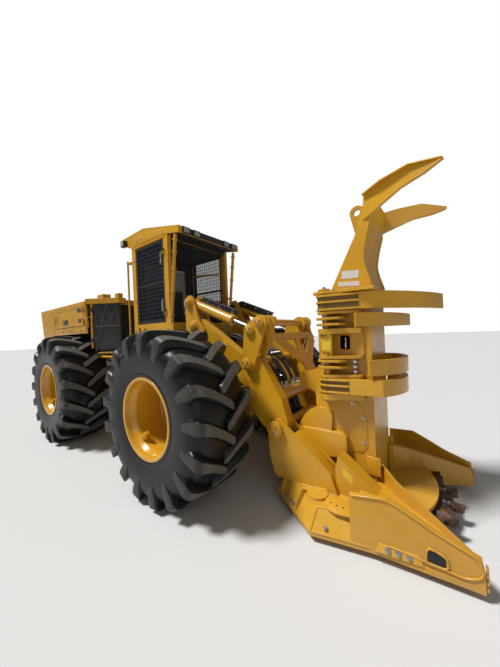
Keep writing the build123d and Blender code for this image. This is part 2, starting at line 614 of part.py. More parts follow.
with BuildPart() as head_base:
    slab(both_sides(SOLE_RIGHT), 20, 60)
    with BuildSketch(PLAN_VIEW.offset(60)) as bevel_foot:
        with BuildLine():
            Polyline(*both_sides(BEVEL_FOOT), close=True)
        make_face()
    extrude(bevel_foot.sketch, amount=DECK_Z - 60, taper=34)
    with BuildSketch(PLAN_VIEW.offset(170)) as disc_cover:
        with Locations((1480, 0)):
            Circle(905)
        with Locations((2150, 0)):
            Rectangle(500, 1240, mode=Mode.INTERSECT)
    extrude(disc_cover.sketch, amount=32)
    for horn in (horn_deck, horn_inner, horn_outer):
        add(horn.part)
        add(mirror(horn.part, about=Plane.XZ, mode=Mode.PRIVATE))
    for side in (-1, 1):
        for near, far in ((FORK_IN - PLATE, FORK_IN), (FORK_OUT, FORK_OUT + PLATE)):
            plate(HEAD_SIDE, *sorted((side * near, side * far)))
        cross_rod(HEAD_PIVOT, *sorted((side * (FORK_OUT + PLATE), side * (FORK_OUT + PLATE + 22))), 78)
        cross_rod(HEAD_PIVOT, *sorted((side * 340, side * 600)), 50 + RUN_GAP, mode=Mode.SUBTRACT)
        post(1500, side * 640, DECK_Z - 1, DECK_Z + 22, 95)
        plate([(1630, DECK_Z - 1), (1630, 430), (1660, 560), (1985, 300), (1985, DECK_Z - 1)],
              *sorted((side * (FORK_IN - PLATE), side * 520)))
    post(DISC_X, 0, 75, 165, DISC_CUT_R, mode=Mode.SUBTRACT)
    post(DISC_X, 0, 50, 171, SPINDLE_R)
save(head_base.part, "head_base")

# Saw motor housing on the deck behind the mast
with BuildPart() as motor_housing:
    plate([(1085, DECK_Z + RUN_GAP), (1110, 470), (1158, 666), (1250, 790), (MAST_REAR_X - RUN_GAP, 830),
           (MAST_REAR_X - RUN_GAP, DECK_Z + RUN_GAP)], -300, 300)
save(motor_housing.part, "saw_motor_housing")

# Disc saw: flat disc with a ring of hooked tooth blocks, turning on the spindle
with BuildPart() as tooth:
    with BuildSketch(Plane.XY.offset(-DISC_THICK / 2 - 12)):
        with BuildLine():
            Polyline((DISC_TIP_R - 105, -34), (DISC_TIP_R - 30, -30), (DISC_TIP_R, 8), (DISC_TIP_R - 8, 34),
                     (DISC_TIP_R - 48, 26), (DISC_TIP_R - 105, 30), close=True)
        make_face()
    extrude(amount=DISC_THICK + 24)
with BuildPart() as disc:
    with Locations(at(DISC_X, 0, DISC_Z)):
        Cylinder(DISC_TIP_R - 72, DISC_THICK)
        with PolarLocations(0, TOOTH_COUNT):
            add(tooth.part)
    post(DISC_X, 0, DISC_Z - 50, DISC_Z + 50, SPINDLE_R + RUN_GAP, mode=Mode.SUBTRACT)
save(disc.part, "disc_saw")

# Mast: hollow column with a saddle-cut front, arm hinge stacks, link ears, lifting eye and top claws
MAST = [
    (MAST_REAR_X, DECK_Z + RUN_GAP), (MAST_REAR_X, 1100), (1480, 1500), (1567, 2100), (1830, 2615),
    (1895, 2860), (2010, 2900), (1950, 2700), (1905, 2520), (1885, 2390), (1900, 2290), (1950, 2130),
    (MAST_FRONT_X, 2080), (MAST_FRONT_X, DECK_Z + RUN_GAP),
]
MAST_CORE = [
    (MAST_REAR_X + 25, 300), (MAST_REAR_X + 25, 1100), (1506, 1500), (1593, 2095), (1850, 2600),
    (1880, 2520), (1860, 2390), (1875, 2280), (MAST_FRONT_X - 25, 2060), (MAST_FRONT_X - 25, 300),
]
# lower and upper face of each hinge plate in a stack
STACK_PLATES = [(1050, 1110), (1262, 1290), (1440, 1470), (1680, 1730), (1870, 1895), (2065, 2095)]
CLAW = [
    (-60, 2720), (-40, 2955), (150, 2985), (380, 3000), (600, 2935), (605, 2915), (480, 2878),
    (300, 2855), (120, 2790),
]
with BuildPart() as mast:
    plate(MAST, -MAST_HALF, MAST_HALF)
    plate(MAST_CORE, -MAST_HALF + 25, MAST_HALF - 25, mode=Mode.SUBTRACT)
    for side in (-1, 1):
        for z_low, z_high in STACK_PLATES:
            with BuildSketch(PLAN_VIEW.offset(z_low)) as hinge_plate:
                for x, y, radius in ((ARM_PIN_X, ARM_PIN_Y, 72), (1490, 300, 40), (1830, 315, 36)):
                    with Locations((x, side * y)):
                        Circle(radius)
                make_hull()
                with Locations((1650, 0)):
                    Rectangle(800, 2 * MAST_HALF - 20, mode=Mode.SUBTRACT)
            extrude(hinge_plate.sketch, amount=z_high - z_low)
        block(1430, 1870, *sorted((side * (MAST_HALF - 10), side * (MAST_HALF + 18))), 1110, 1262)
        block(1430, 1870, *sorted((side * (MAST_HALF - 10), side * (MAST_HALF + 18))), 1470, 1680)
        block(1640, 1755, *sorted((side * (MAST_HALF - 30), side * (MAST_HALF + 20))), 1520, 1665,
              mode=Mode.SUBTRACT)
        post(ARM_PIN_X, side * ARM_PIN_Y, STACK_PLATES[0][0], STACK_PLATES[-1][1] + 20, ARM_PIN_R)
        with BuildSketch(Plane(origin=at(1960, side * 280, 0), x_dir=(0.93, side * 0.37, 0),
                               z_dir=(side * 0.37, -0.93, 0))) as claw_view:
            with BuildLine():
                Polyline(*CLAW, close=True)
            make_face()
        extrude(claw_view.sketch, amount=-28 * side)
        plate(LINK_EAR, *sorted((side * EAR_IN, side * (EAR_IN + PLATE))))
    block(1440, 2000, -420, 420, 2065, 2095)
    block(1580, MAST_FRONT_X - 25, -MAST_HALF + 25, MAST_HALF - 25, 2060, 2100, mode=Mode.SUBTRACT)
    cross_rod(LINK_FOOT, -EAR_IN - PLATE, EAR_IN + PLATE, LINK_PIN_R)
    link([(*EYE_POINT, 70), (1820, 2690, 60)], -20, 20)
    cross_rod(EYE_POINT, -21, 21, EYE_HOLE_R, mode=Mode.SUBTRACT)
save(mast.part, "mast")

# Gathering arms, each a curved blade between a top and a bottom plate, hinged on a stack's pin.
# Plan points have the hinge side at +y: outer edge from the hinge to the tip, then the inner edge.
CLOSED_ARM = [(2040, 400), (2180, 20), (2080, -300), (1950, -440), (1922, -415), (2040, -285), (2132, 20),
              (1990, 375)]
REACHING_ARM = [(1965, 350), (2240, -60), (2400, -420), (2455, -620), (2425, -632), (2365, -430),
                (2200, -80), (1960, 300)]
SWEPT_ARM = [(2150, 560), (2115, 150), (2000, -290), (1850, -455), (1826, -430), (1962, -280), (2068, 150),
             (2100, 510)]
# name, side, height of the underside and the top, outline
GATHER_ARMS = [
    ("gather_arm_upper_right", -1, 1901, 2059, REACHING_ARM),
    ("gather_arm_upper_left", 1, 1736, 1864, SWEPT_ARM),
    ("gather_arm_lower_left", 1, 1296, 1434, CLOSED_ARM),
    ("gather_arm_lower_right", -1, 1116, 1256, CLOSED_ARM),
]
for name, side, z_low, z_high, outline in GATHER_ARMS:
    root, bulge, wrist, tip, tip_in, wrist_in, bulge_in, root_in = outline
    with BuildPart() as gather_arm:
        with BuildSketch(PLAN_VIEW.offset(z_low)) as blade:
            with BuildLine():
                ThreePointArc(root, bulge, wrist)
                Polyline(wrist, tip, tip_in, wrist_in)
                ThreePointArc(wrist_in, bulge_in, root_in)
                Polyline(root_in, (ARM_PIN_X + 40, ARM_PIN_Y - 55), (ARM_PIN_X, ARM_PIN_Y + 66), root)
            make_face()
            with Locations((ARM_PIN_X, ARM_PIN_Y)):
                Circle(66)
            if side < 0:
                mirror(about=Plane.XZ, mode=Mode.REPLACE)
        extrude(blade.sketch, amount=z_high - z_low)
        post(ARM_PIN_X, side * ARM_PIN_Y, z_low - 1, z_high + 1, ARM_PIN_R + RUN_GAP, mode=Mode.SUBTRACT)
    save(gather_arm.part, name)
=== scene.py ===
import json
import math
import bpy
import bmesh
from mathutils import Matrix, Vector


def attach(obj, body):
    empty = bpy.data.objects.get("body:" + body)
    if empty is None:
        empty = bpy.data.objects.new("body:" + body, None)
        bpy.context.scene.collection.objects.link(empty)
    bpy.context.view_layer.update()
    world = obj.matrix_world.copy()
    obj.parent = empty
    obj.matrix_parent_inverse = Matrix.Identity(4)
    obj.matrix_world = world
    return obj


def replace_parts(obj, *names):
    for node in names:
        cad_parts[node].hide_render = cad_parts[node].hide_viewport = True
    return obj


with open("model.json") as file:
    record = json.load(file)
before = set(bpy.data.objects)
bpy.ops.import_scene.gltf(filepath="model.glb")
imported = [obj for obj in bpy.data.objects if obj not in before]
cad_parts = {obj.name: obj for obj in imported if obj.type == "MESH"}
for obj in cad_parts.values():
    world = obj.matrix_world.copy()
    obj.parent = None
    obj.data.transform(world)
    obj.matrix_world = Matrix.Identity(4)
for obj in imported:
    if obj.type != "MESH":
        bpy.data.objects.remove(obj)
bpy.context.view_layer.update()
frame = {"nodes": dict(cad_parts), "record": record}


# Camera, yard and light. The camera stands ahead of the right front tyre, at a person's height, with a
# wide lens. The yard is a plain pale floor under an even white sky, with one broad soft sun and a fill.
CAMERA_PLACE = Vector((3.6451, -2.9013, 1.7518))
AIM_YAW, AIM_PITCH, AIM_ROLL = (math.radians(turn) for turn in (127.755, -0.044, 2.332))
LENS_MM, SENSOR_MM = 14.28, 36
YARD_COLOUR, YARD_SIZE = (0.56, 0.555, 0.545, 1), 160
SKY_LIGHT, SKY_SEEN = 0.20, 1.0
SUN_RUN, SUN_STRENGTH, SUN_WIDTH = Vector((4.9, 5.2, -11.6)), 4.3, math.radians(11.0)
FILL_PLACE, FILL_TARGET, FILL_SIZE, FILL_POWER = Vector((8.0, -6.0, 5.0)), Vector((0, 0, 1.0)), 6.0, 70


def added(name, data):
    """A new object with this data, put into the scene."""
    made = bpy.data.objects.new(name, data)
    bpy.context.scene.collection.objects.link(made)
    return made


def lit(name, kind, power, run):
    """A light that shines along run."""
    light = bpy.data.lights.new(name, kind)
    light.energy = power
    holder = added(name, light)
    holder.rotation_mode = "QUATERNION"
    holder.rotation_quaternion = run.to_track_quat("-Z", "Y")
    return holder


def settle(made, **settings):
    """Set a node's inputs by name, with _ for a space."""
    for label, value in settings.items():
        made.inputs[label.replace("_", " ")].default_value = value
    return made


def node(near, kind, **settings):
    """A new node in the tree of a socket, with its inputs set."""
    return settle(near.id_data.nodes.new(kind), **settings)


def link(source, target):
    """Join two sockets of one tree."""
    source.id_data.links.new(source, target)


ahead = Vector((math.cos(AIM_YAW) * math.cos(AIM_PITCH), math.sin(AIM_YAW) * math.cos(AIM_PITCH),
                math.sin(AIM_PITCH)))
level = Vector((math.sin(AIM_YAW), -math.cos(AIM_YAW), 0))
upright = level.cross(ahead)
across = math.cos(AIM_ROLL) * level - math.sin(AIM_ROLL) * upright
upward = math.sin(AIM_ROLL) * level + math.cos(AIM_ROLL) * upright
lens = bpy.data.cameras.new("camera")
lens.sensor_fit = "AUTO"
lens.sensor_width = SENSOR_MM
lens.lens = LENS_MM
lens.clip_end = 200
camera = added("camera", lens)
camera.matrix_world = Matrix((across, upward, -ahead)).transposed().to_4x4()
camera.matrix_world.translation = CAMERA_PLACE
bpy.context.scene.camera = camera
bpy.context.scene.view_settings.view_transform = "Standard"

yard_paint = bpy.data.materials.new("yard")
yard_paint.use_nodes = True
settle(yard_paint.node_tree.nodes["Principled BSDF"], Base_Color=YARD_COLOUR, Roughness=0.9)
bpy.ops.mesh.primitive_plane_add(size=YARD_SIZE)
yard = bpy.context.object
yard.name = "yard"
yard.data.materials.append(yard_paint)

sky = bpy.data.worlds.new("sky")
bpy.context.scene.world = sky
sky.use_nodes = True
strength = settle(sky.node_tree.nodes["Background"], Color=(1, 1, 1, 1)).inputs["Strength"]
rays, seen = node(strength, "ShaderNodeLightPath"), node(strength, "ShaderNodeMath")
seen.operation = "MAXIMUM"
link(rays.outputs["Is Camera Ray"], seen.inputs[0])
link(rays.outputs["Is Transmission Ray"], seen.inputs[1])
shown = node(strength, "ShaderNodeMapRange", To_Min=SKY_LIGHT, To_Max=SKY_SEEN)
link(seen.outputs[0], shown.inputs["Value"])
link(shown.outputs["Result"], strength)

lit("soft_sun", "SUN", SUN_STRENGTH, SUN_RUN).data.angle = SUN_WIDTH
fill = lit("fill", "AREA", FILL_POWER, FILL_TARGET - FILL_PLACE)
fill.location = FILL_PLACE
fill.data.shape, fill.data.size = "DISK", FILL_SIZE


# Golden yellow paint on the frames, cab, hood, boom and head: glossy enamel over welded plate. It varies
# a little in tone, has fine orange peel, dust in its lower parts, and bare chips along edges.
DATUM = Vector((1.100, 0, 0.035))
GOLD = (0.580, 0.300, 0.014)
GOLD_DEEP = (0.490, 0.240, 0.010)
PRIMER = (0.110, 0.060, 0.028)
DUST = (0.330, 0.260, 0.180)


def new_material(name):
    """A new material, its shader and its Object coordinates."""
    made = bpy.data.materials.new(name)
    made.use_nodes = True
    shader = made.node_tree.nodes["Principled BSDF"]
    return made, shader, node(shader.inputs[0], "ShaderNodeTexCoord").outputs["Object"]


def noise(coords, scale, detail=3.0, roughness=0.55):
    """Cloudy grain over the coordinates."""
    grain = node(coords, "ShaderNodeTexNoise", Scale=scale, Detail=detail, Roughness=roughness)
    link(coords, grain.inputs["Vector"])
    return grain.outputs["Fac"]


def span(value, from_low, from_high, to_low=0.0, to_high=1.0):
    """A value carried from one range to another."""
    reach = node(value, "ShaderNodeMapRange", From_Min=from_low, From_Max=from_high, To_Min=to_low,
                 To_Max=to_high)
    link(value, reach.inputs["Value"])
    return reach.outputs["Result"]


def times(a, b):
    """The product of a socket and a number or another socket."""
    product = node(a, "ShaderNodeMath")
    product.operation = "MULTIPLY"
    link(a, product.inputs[0])
    if isinstance(b, float):
        product.inputs[1].default_value = b
    else:
        link(b, product.inputs[1])
    return product.outputs[0]


def blended(share, low, high):
    """A colour between two colours or sockets, by share."""
    mixer = node(share, "ShaderNodeMix")
    mixer.data_type = "RGBA"
    link(share, mixer.inputs[0])
    for socket, colour in ((mixer.inputs[6], low), (mixer.inputs[7], high)):
        if isinstance(colour, tuple):
            socket.default_value = (*colour, 1)
        else:
            link(colour, socket)
    return mixer.outputs[2]


def bumped(shader, height, strength, distance):
    """Fine relief on a shader's normal."""
    bump = node(height, "ShaderNodeBump", Strength=strength, Distance=distance)
    link(height, bump.inputs["Height"])
    link(bump.outputs["Normal"], shader.inputs["Normal"])
    return bump


def enamel(name, colour, deep, roughness=0.32, dust_top=0.5, chips=0.3, coat=0.08):
    """Painted plate: tone patches, orange peel, dust below dust_top metres, chipped edges."""
    paint, shader, coords = new_material(name)
    tone = span(noise(coords, 1.7, 4.0), 0.35, 0.65)
    height = node(coords, "ShaderNodeSeparateXYZ")
    link(coords, height.inputs[0])
    low_down = span(height.outputs["Z"], 0.05, dust_top, 0.30, 0.0)
    patches = span(noise(coords, 9.0, 6.0, 0.65), 0.38, 0.72)
    dusted = blended(times(low_down, patches), blended(tone, deep, colour), DUST)

    rounded = node(coords, "ShaderNodeBevel", Radius=0.006)
    rounded.samples = 4
    match = node(coords, "ShaderNodeVectorMath")
    match.operation = "DOT_PRODUCT"
    link(rounded.outputs["Normal"], match.inputs[0])
    link(node(coords, "ShaderNodeNewGeometry").outputs["Normal"], match.inputs[1])
    edge = span(match.outputs["Value"], 0.97, 0.86)
    worn = span(noise(coords, 38.0, 5.0, 0.7), 0.58, 0.68)
    chipped = times(times(edge, worn), chips)
    link(blended(chipped, dusted, PRIMER), shader.inputs["Base Color"])

    link(span(noise(coords, 6.0), 0.3, 0.7, roughness - 0.06, roughness + 0.10), shader.inputs["Roughness"])
    settle(shader, Coat_Weight=coat, Coat_Roughness=0.12)
    peel = bumped(shader, noise(coords, 160.0, 2.0), 0.10, 0.0006)
    link(rounded.outputs["Normal"], peel.inputs["Normal"])
    return paint


def coat_node(material, *names):
    """Give carried-over nodes their finish."""
    for name in names:
        mesh = frame["nodes"][name].data
        mesh.materials.clear()
        mesh.materials.append(material)


def coat_slot(material, slot):
    """Give every carried-over node of a material slot its finish."""
    coat_node(material, *[row["node"] for row in frame["record"]["subparts"] if row["material_slot"] == slot])


gold_paint = enamel("gold_paint", GOLD, GOLD_DEEP)
coat_slot(gold_paint, "yellow_paint")


# Tyres: forestry tyres with two rows of seventeen heavy lugs that sweep from the sidewall over the
# shoulder to the middle. Black rubber, shiny between the lugs, dusty grey where the lugs meet the ground.
TREAD_LUGS = 17
TREAD_R = 0.880
WHEEL_Y, AXLE_Z = 1.100, 0.880
# half of the carcass in section, from bead to crown: radius, y
CARCASS = [
    (0.4065, -0.331), (0.420, -0.338), (0.436, -0.346), (0.452, -0.353), (0.462, -0.354),
    (0.470, -0.350), (0.500, -0.357), (0.560, -0.366), (0.620, -0.371), (0.690, -0.372),
    (0.745, -0.363), (0.785, -0.344), (0.815, -0.316), (0.836, -0.280), (0.849, -0.230),
    (0.857, -0.160), (0.861, -0.080), (0.862, 0.0),
]
# lug stations from nose to foot: crown radius and y, root radius and y, sweep along the tread, half width
LUG_STATIONS = [
    (0.896, 0.058, 0.846, 0.066, -0.072, 0.022),
    (0.910, 0.044, 0.846, 0.050, -0.060, 0.040),
    (0.914, 0.012, 0.846, 0.016, -0.040, 0.046),
    (0.915, -0.060, 0.846, -0.060, 0.012, 0.047),
    (0.915, -0.140, 0.844, -0.140, 0.064, 0.048),
    (0.915, -0.220, 0.838, -0.220, 0.108, 0.050),
    (0.911, -0.285, 0.822, -0.280, 0.138, 0.054),
    (0.897, -0.338, 0.796, -0.318, 0.154, 0.060),
    (0.866, -0.371, 0.764, -0.338, 0.163, 0.065),
    (0.815, -0.3795, 0.735, -0.346, 0.167, 0.067),
    (0.750, -0.3795, 0.700, -0.352, 0.168, 0.065),
    (0.690, -0.3790, 0.662, -0.354, 0.167, 0.060),
    (0.640, -0.3745, 0.632, -0.354, 0.165, 0.054),
]
LUG_STEPS, CARCASS_STEPS = 22, 136
# how far a lug's foot and flanks stand out from its half width, and its crown draws in and drops off
FOOT_FLARE, FLANK_FLARE, CROWN_IN, CROWN_DROP, FLANK_POLISH = 0.026, 0.002, 0.008, 0.010, 0.4
# the ground polishes crowns beyond this radius; the shoulder's share of that polish
TRODDEN_R, SHOULDER_POLISH = 0.904, 0.84
# wheel, x from the front axle, side, turn of the tread in degrees
WHEELS = [
    ("front_right", 0.0, -1, 4.0),
    ("front_left", 0.0, 1, 9.0),
    ("rear_right", -3.044, -1, 11.0),
    ("rear_left", -3.044, 1, 2.0),
]


def skinned(shape, rings, closed=False):
    """Faces between rings of vertices, capped at both ends unless the last ring meets the first."""
    for here, there in zip(rings, rings[1:] + (rings[:1] if closed else [])):
        for k in range(len(here)):
            m = (k + 1) % len(here)
            shape.faces.new((here[k], here[m], there[m], there[k]))
    if not closed:
        shape.faces.new(rings[0][::-1])
        shape.faces.new(rings[-1])


def turned(profile, steps):
    """A closed shape turned round the wheel's axis (Y) from a profile of (radius, y)."""
    shape = bmesh.new()
    rings = []
    for step in range(steps):
        turn = 2 * math.pi * step / steps
        rings.append([shape.verts.new((r * math.cos(turn), y, r * math.sin(turn))) for r, y in profile])
    skinned(shape, rings, closed=True)
    bmesh.ops.remove_doubles(shape, verts=shape.verts, dist=1e-5)
    bmesh.ops.recalc_face_normals(shape, faces=shape.faces)
    return shape


def between(rows, share):
    """A row of a table at a share of its length, on a smooth curve through the rows."""
    place = share * (len(rows) - 1)
    k = min(int(place), len(rows) - 2)
    u = place - k
    nearby = rows[max(k - 1, 0)], rows[k], rows[k + 1], rows[min(k + 2, len(rows) - 1)]
    return [
        0.5 * (2 * b + (c - a) * u + (2 * a - 5 * b + 4 * c - d) * u * u + (3 * b - a - 3 * c + d) * u ** 3)
        for a, b, c, d in zip(*nearby)
    ]


def add_lug(shape, crown, turn, side):
    """One tread lug, swept from its nose past the middle to its foot on the sidewall."""
    sections = []
    for step in range(LUG_STEPS + 1):
        crown_r, crown_y, root_r, root_y, sweep, half = between(LUG_STATIONS, step / LUG_STEPS)
        rise = Vector((crown_r - root_r, crown_y - root_y)).normalized()
        top, foot = (crown_r, crown_y), (root_r, root_y)
        low = (crown_r - CROWN_DROP * rise.x, crown_y - CROWN_DROP * rise.y)
        ring = []
        for (r, y), across_lug, polish in (
            (foot, -half - FOOT_FLARE, 0), (low, -half - FLANK_FLARE, FLANK_POLISH),
            (top, -half + CROWN_IN, 1), (top, half - CROWN_IN, 1),
            (low, half + FLANK_FLARE, FLANK_POLISH), (foot, half + FOOT_FLARE, 0),
        ):
            angle = turn + (sweep + across_lug) / TREAD_R
            vertex = shape.verts.new((r * math.cos(angle), side * -y, r * math.sin(angle)))
            vertex[crown] = min(polish, 1.0 if crown_r > TRODDEN_R else SHOULDER_POLISH)
            ring.append(vertex)
        sections.append(ring)
    skinned(shape, sections)


def set_down(shape, name, material, body, smooth):
    """Turn a worked shape into a painted piece that rides on a body."""
    mesh = bpy.data.meshes.new(name)
    shape.to_mesh(mesh)
    shape.free()
    mesh.materials.append(material)
    mesh.shade_smooth()
    mesh.set_sharp_from_angle(angle=math.radians(smooth))
    made = added(name, mesh)
    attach(made, body)
    return made


def on_wheel(shape, name, material, wheel, place, mirrored=False, smooth=35.0):
    """Set a turned shape down at its place on a wheel, mirrored for the left-hand side."""
    if mirrored:
        bmesh.ops.scale(shape, vec=(1, -1, 1), verts=shape.verts)
        bmesh.ops.reverse_faces(shape, faces=shape.faces)
    bmesh.ops.translate(shape, vec=place, verts=shape.verts)
    return set_down(shape, f"{name}_{wheel}", material, f"wheel_{wheel}", smooth)


rubber, shader, coords = new_material("rubber")
lug_top = node(coords, "ShaderNodeAttribute")
lug_top.attribute_name = "crown"
trodden = span(lug_top.outputs["Fac"], 0.75, 1.0)
grit = span(noise(coords, 55.0, 8.0, 0.75), 0.35, 0.60, 0.25, 1.0)
scuffed = times(trodden, grit)
film = span(noise(coords, 4.0, 6.0, 0.6), 0.40, 0.75, 0.0, 0.22)
black = blended(film, (0.0050, 0.0052, 0.0056), (0.016, 0.015, 0.014))
link(blended(scuffed, black, (0.135, 0.122, 0.105)), shader.inputs["Base Color"])
link(span(scuffed, 0.0, 1.0, 0.36, 0.92), shader.inputs["Roughness"])
settle(shader, Specular_IOR_Level=0.30)
bumped(shader, noise(coords, 90.0, 6.0, 0.7), 0.35, 0.002)

carcass_profile = CARCASS + [(r, -y) for r, y in CARCASS[-2::-1]]
for wheel, axle_x, side, tread_turn in WHEELS:
    shape = turned(carcass_profile, CARCASS_STEPS)
    crown = shape.verts.layers.float.new("crown")
    for row, stagger in ((-1, 0.5), (1, 0)):
        for k in range(TREAD_LUGS):
            turn = math.radians(360 / TREAD_LUGS * (k + stagger) + tread_turn)
            add_lug(shape, crown, turn, row)
    bmesh.ops.recalc_face_normals(shape, faces=shape.faces)
    hub = DATUM + Vector((axle_x, side * WHEEL_Y, AXLE_Z))
    tyre = on_wheel(shape, "lugged_tyre", rubber, wheel, hub, side > 0)
    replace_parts(tyre, f"tyre_{wheel}")


# Rims: deep one-piece rims welded from a rolled barrel and a pressed disc, painted gold inside and out,
# held by a ring of studs and nuts. A small guard pipe shields the valve low in the barrel.
# the rim in section: radius, y
RIM = [
    (0.4062, -0.328), (0.418, -0.333), (0.4285, -0.339), (0.430, -0.344), (0.428, -0.3485),
    (0.422, -0.350), (0.405, -0.349), (0.397, -0.344), (0.393, -0.334), (0.391, -0.300),
    (0.386, -0.286), (0.362, -0.252), (0.355, -0.238), (0.353, -0.222), (0.352, -0.060),
    (0.352, 0.060), (0.348, 0.076), (0.336, 0.085), (0.230, 0.092), (0.222, 0.080), (0.150, 0.078),
    (0.142, 0.066), (0.060, 0.062), (0.0, 0.060), (0.0, 0.118), (0.350, 0.112), (0.362, 0.205),
    (0.388, 0.290), (0.400, 0.350), (0.430, 0.350), (0.430, 0.342), (0.406, 0.332), (0.406, 0.250),
    (0.374, 0.200), (0.374, -0.200), (0.406, -0.250),
]
RIM_STEPS = 112
NUTS, NUT_RING_R, NUT_SEAT_Y, NUT_R = 16, 0.190, 0.078, 0.017
VALVE_Y, VALVE_TURN = 0.220, math.radians(38)
# parts of the valve guard: outer and inner end by radius on the wheel, own radius
VALVE_GUARD = [(0.345, 0.300, 0.040), (0.302, 0.262, 0.022)]

rim_paint = enamel("rim_paint", GOLD, GOLD_DEEP, roughness=0.24, dust_top=0.7, chips=0.2, coat=0.4)
steel, shader, coords = new_material("bolt_steel")
link(blended(noise(coords, 70.0), (0.30, 0.30, 0.31), (0.55, 0.54, 0.52)), shader.inputs["Base Color"])
link(span(noise(coords, 120.0), 0.3, 0.7, 0.25, 0.45), shader.inputs["Roughness"])
settle(shader, Metallic=0.9)


def new_tree(name, output, **inputs):
    """An empty geometry tree with named inputs (_ for a space), and its input sockets."""
    tree = bpy.data.node_groups.new(name, "GeometryNodeTree")
    for label, kind in inputs.items():
        tree.interface.new_socket(label.replace("_", " "), in_out="INPUT", socket_type=f"NodeSocket{kind}")
    tree.interface.new_socket(output, in_out="OUTPUT", socket_type="NodeSocketGeometry")
    return tree, tree.nodes.new("NodeGroupInput").outputs


def end_tree(geometry, material):
    """Realize a tree's instances, set their material and hand the mesh out."""
    real, coated = node(geometry, "GeometryNodeRealizeInstances"), node(geometry, "GeometryNodeSetMaterial")
    link(geometry, real.inputs[0])
    link(real.outputs[0], coated.inputs["Geometry"])
    link(material, coated.inputs["Material"])
    link(coated.outputs[0], node(geometry, "NodeGroupOutput").inputs[0])


hex_tree, given = new_tree("hex_head_bolts", "Bolts", Spots="Geometry", Head_Radius="Float",
                           Finish="Material")
head_r = given["Head Radius"]
heads = node(head_r, "GeometryNodeJoinGeometry")
# head, washer and stud end: sides, radius and height as shares of the head radius, height of the middle
for sides, wide, tall, middle in ((6, 1.0, 0.75, 0.62), (20, 1.45, 0.28, 0.12), (12, 0.55, 0.35, 1.15)):
    part = node(head_r, "GeometryNodeMeshCylinder", Vertices=sides)
    lift, offset = node(head_r, "GeometryNodeTransform"), node(head_r, "ShaderNodeCombineXYZ")
    link(times(head_r, wide), part.inputs["Radius"])
    link(times(head_r, tall), part.inputs["Depth"])
    link(times(head_r, middle), offset.inputs["Z"])
    link(offset.outputs[0], lift.inputs["Translation"])
    link(part.outputs["Mesh"], lift.inputs["Geometry"])
    link(lift.outputs[0], heads.inputs[0])
axis_in = node(head_r, "GeometryNodeInputNamedAttribute", Name="axis")
axis_in.data_type = "FLOAT_VECTOR"
face_out = node(head_r, "FunctionNodeAlignRotationToVector")
face_out.axis = "Z"
link(axis_in.outputs[0], face_out.inputs["Vector"])
copies = node(head_r, "GeometryNodeInstanceOnPoints")
link(given["Spots"], copies.inputs["Points"])
link(heads.outputs[0], copies.inputs["Instance"])
link(face_out.outputs[0], copies.inputs["Rotation"])
end_tree(copies.outputs[0], given["Finish"])


def grown(tree, mesh, name, settings, body):
    """Run a node tree on a mesh and keep the result as a plain piece on a body."""
    carrier = added(name, mesh)
    modifier = carrier.modifiers.new("grow", "NODES")
    modifier.node_group = tree
    for item in tree.interface.items_tree:
        if item.in_out == "INPUT" and item.name in settings:
            modifier[item.identifier] = settings[item.name]
    result = bpy.data.meshes.new_from_object(
        carrier.evaluated_get(bpy.context.evaluated_depsgraph_get()),
        depsgraph=bpy.context.evaluated_depsgraph_get())
    carrier.modifiers.clear()
    bpy.data.objects.remove(carrier)
    result.name = name
    made = added(name, result)
    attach(made, body)


def bolts(name, spots, head_radius, body, material=steel):
    """Hex bolts with washers at spots, each a place (metres, part frame) and the way its head faces."""
    mesh = bpy.data.meshes.new(name)
    mesh.from_pydata([tuple(place) for place, facing in spots], [], [])
    facing_out = mesh.attributes.new("axis", "FLOAT_VECTOR", "POINT")
    for k, (place, facing) in enumerate(spots):
        facing_out.data[k].vector = Vector(facing).normalized()
    grown(hex_tree, mesh, name, {"Head Radius": head_radius, "Finish": material}, body)


for wheel, axle_x, side, tread_turn in WHEELS:
    hub = DATUM + Vector((axle_x, side * WHEEL_Y, AXLE_Z))
    rim = on_wheel(turned(RIM, RIM_STEPS), "deep_rim", rim_paint, wheel, hub, side > 0)
    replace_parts(rim, f"rim_{wheel}")
    spots = []
    for turn in (2 * math.pi * k / NUTS for k in range(NUTS)):
        seat = Vector((NUT_RING_R * math.cos(turn), -side * NUT_SEAT_Y, NUT_RING_R * math.sin(turn)))
        spots.append((hub + seat, (0, side, 0)))
    bolts(f"wheel_nuts_{wheel}", spots, NUT_R, f"wheel_{wheel}")
    shape = bmesh.new()
    for start, end, radius in VALVE_GUARD:
        stand = Matrix.Rotation(VALVE_TURN, 4, "Y") @ Matrix.Translation((0, 0, -(start + end) / 2))
        bmesh.ops.create_cone(shape, cap_ends=True, segments=20, radius1=radius, radius2=radius,
                              depth=start - end, matrix=stand)
    on_wheel(shape, "valve_guard", rim_paint, wheel, hub + Vector((0, side * VALVE_Y, 0)),
             smooth=40.0)


# Small metal work shared by the whole machine: plates, bars, bent tubes and pins with softened edges,
# in black satin enamel, chrome, cast grey iron, clear glass and rubber. Each is cut, bent and bolted on.
SIDES = (("right", -1), ("left", 1))
HARD_EDGE = math.radians(38)
# steps round a tube's bend, and the most of a straight run that a bend takes up
BEND_STEPS, BEND_SHARE = 6, 0.45
black_paint = enamel("black_paint", (0.012, 0.012, 0.013), (0.018, 0.017, 0.016), roughness=0.38,
                     dust_top=1.2, chips=0.15, coat=0.1)
cast_grey = enamel("cast_grey", (0.060, 0.058, 0.055), (0.095, 0.088, 0.078), roughness=0.55,
                   dust_top=1.4, chips=0.3, coat=0.0)
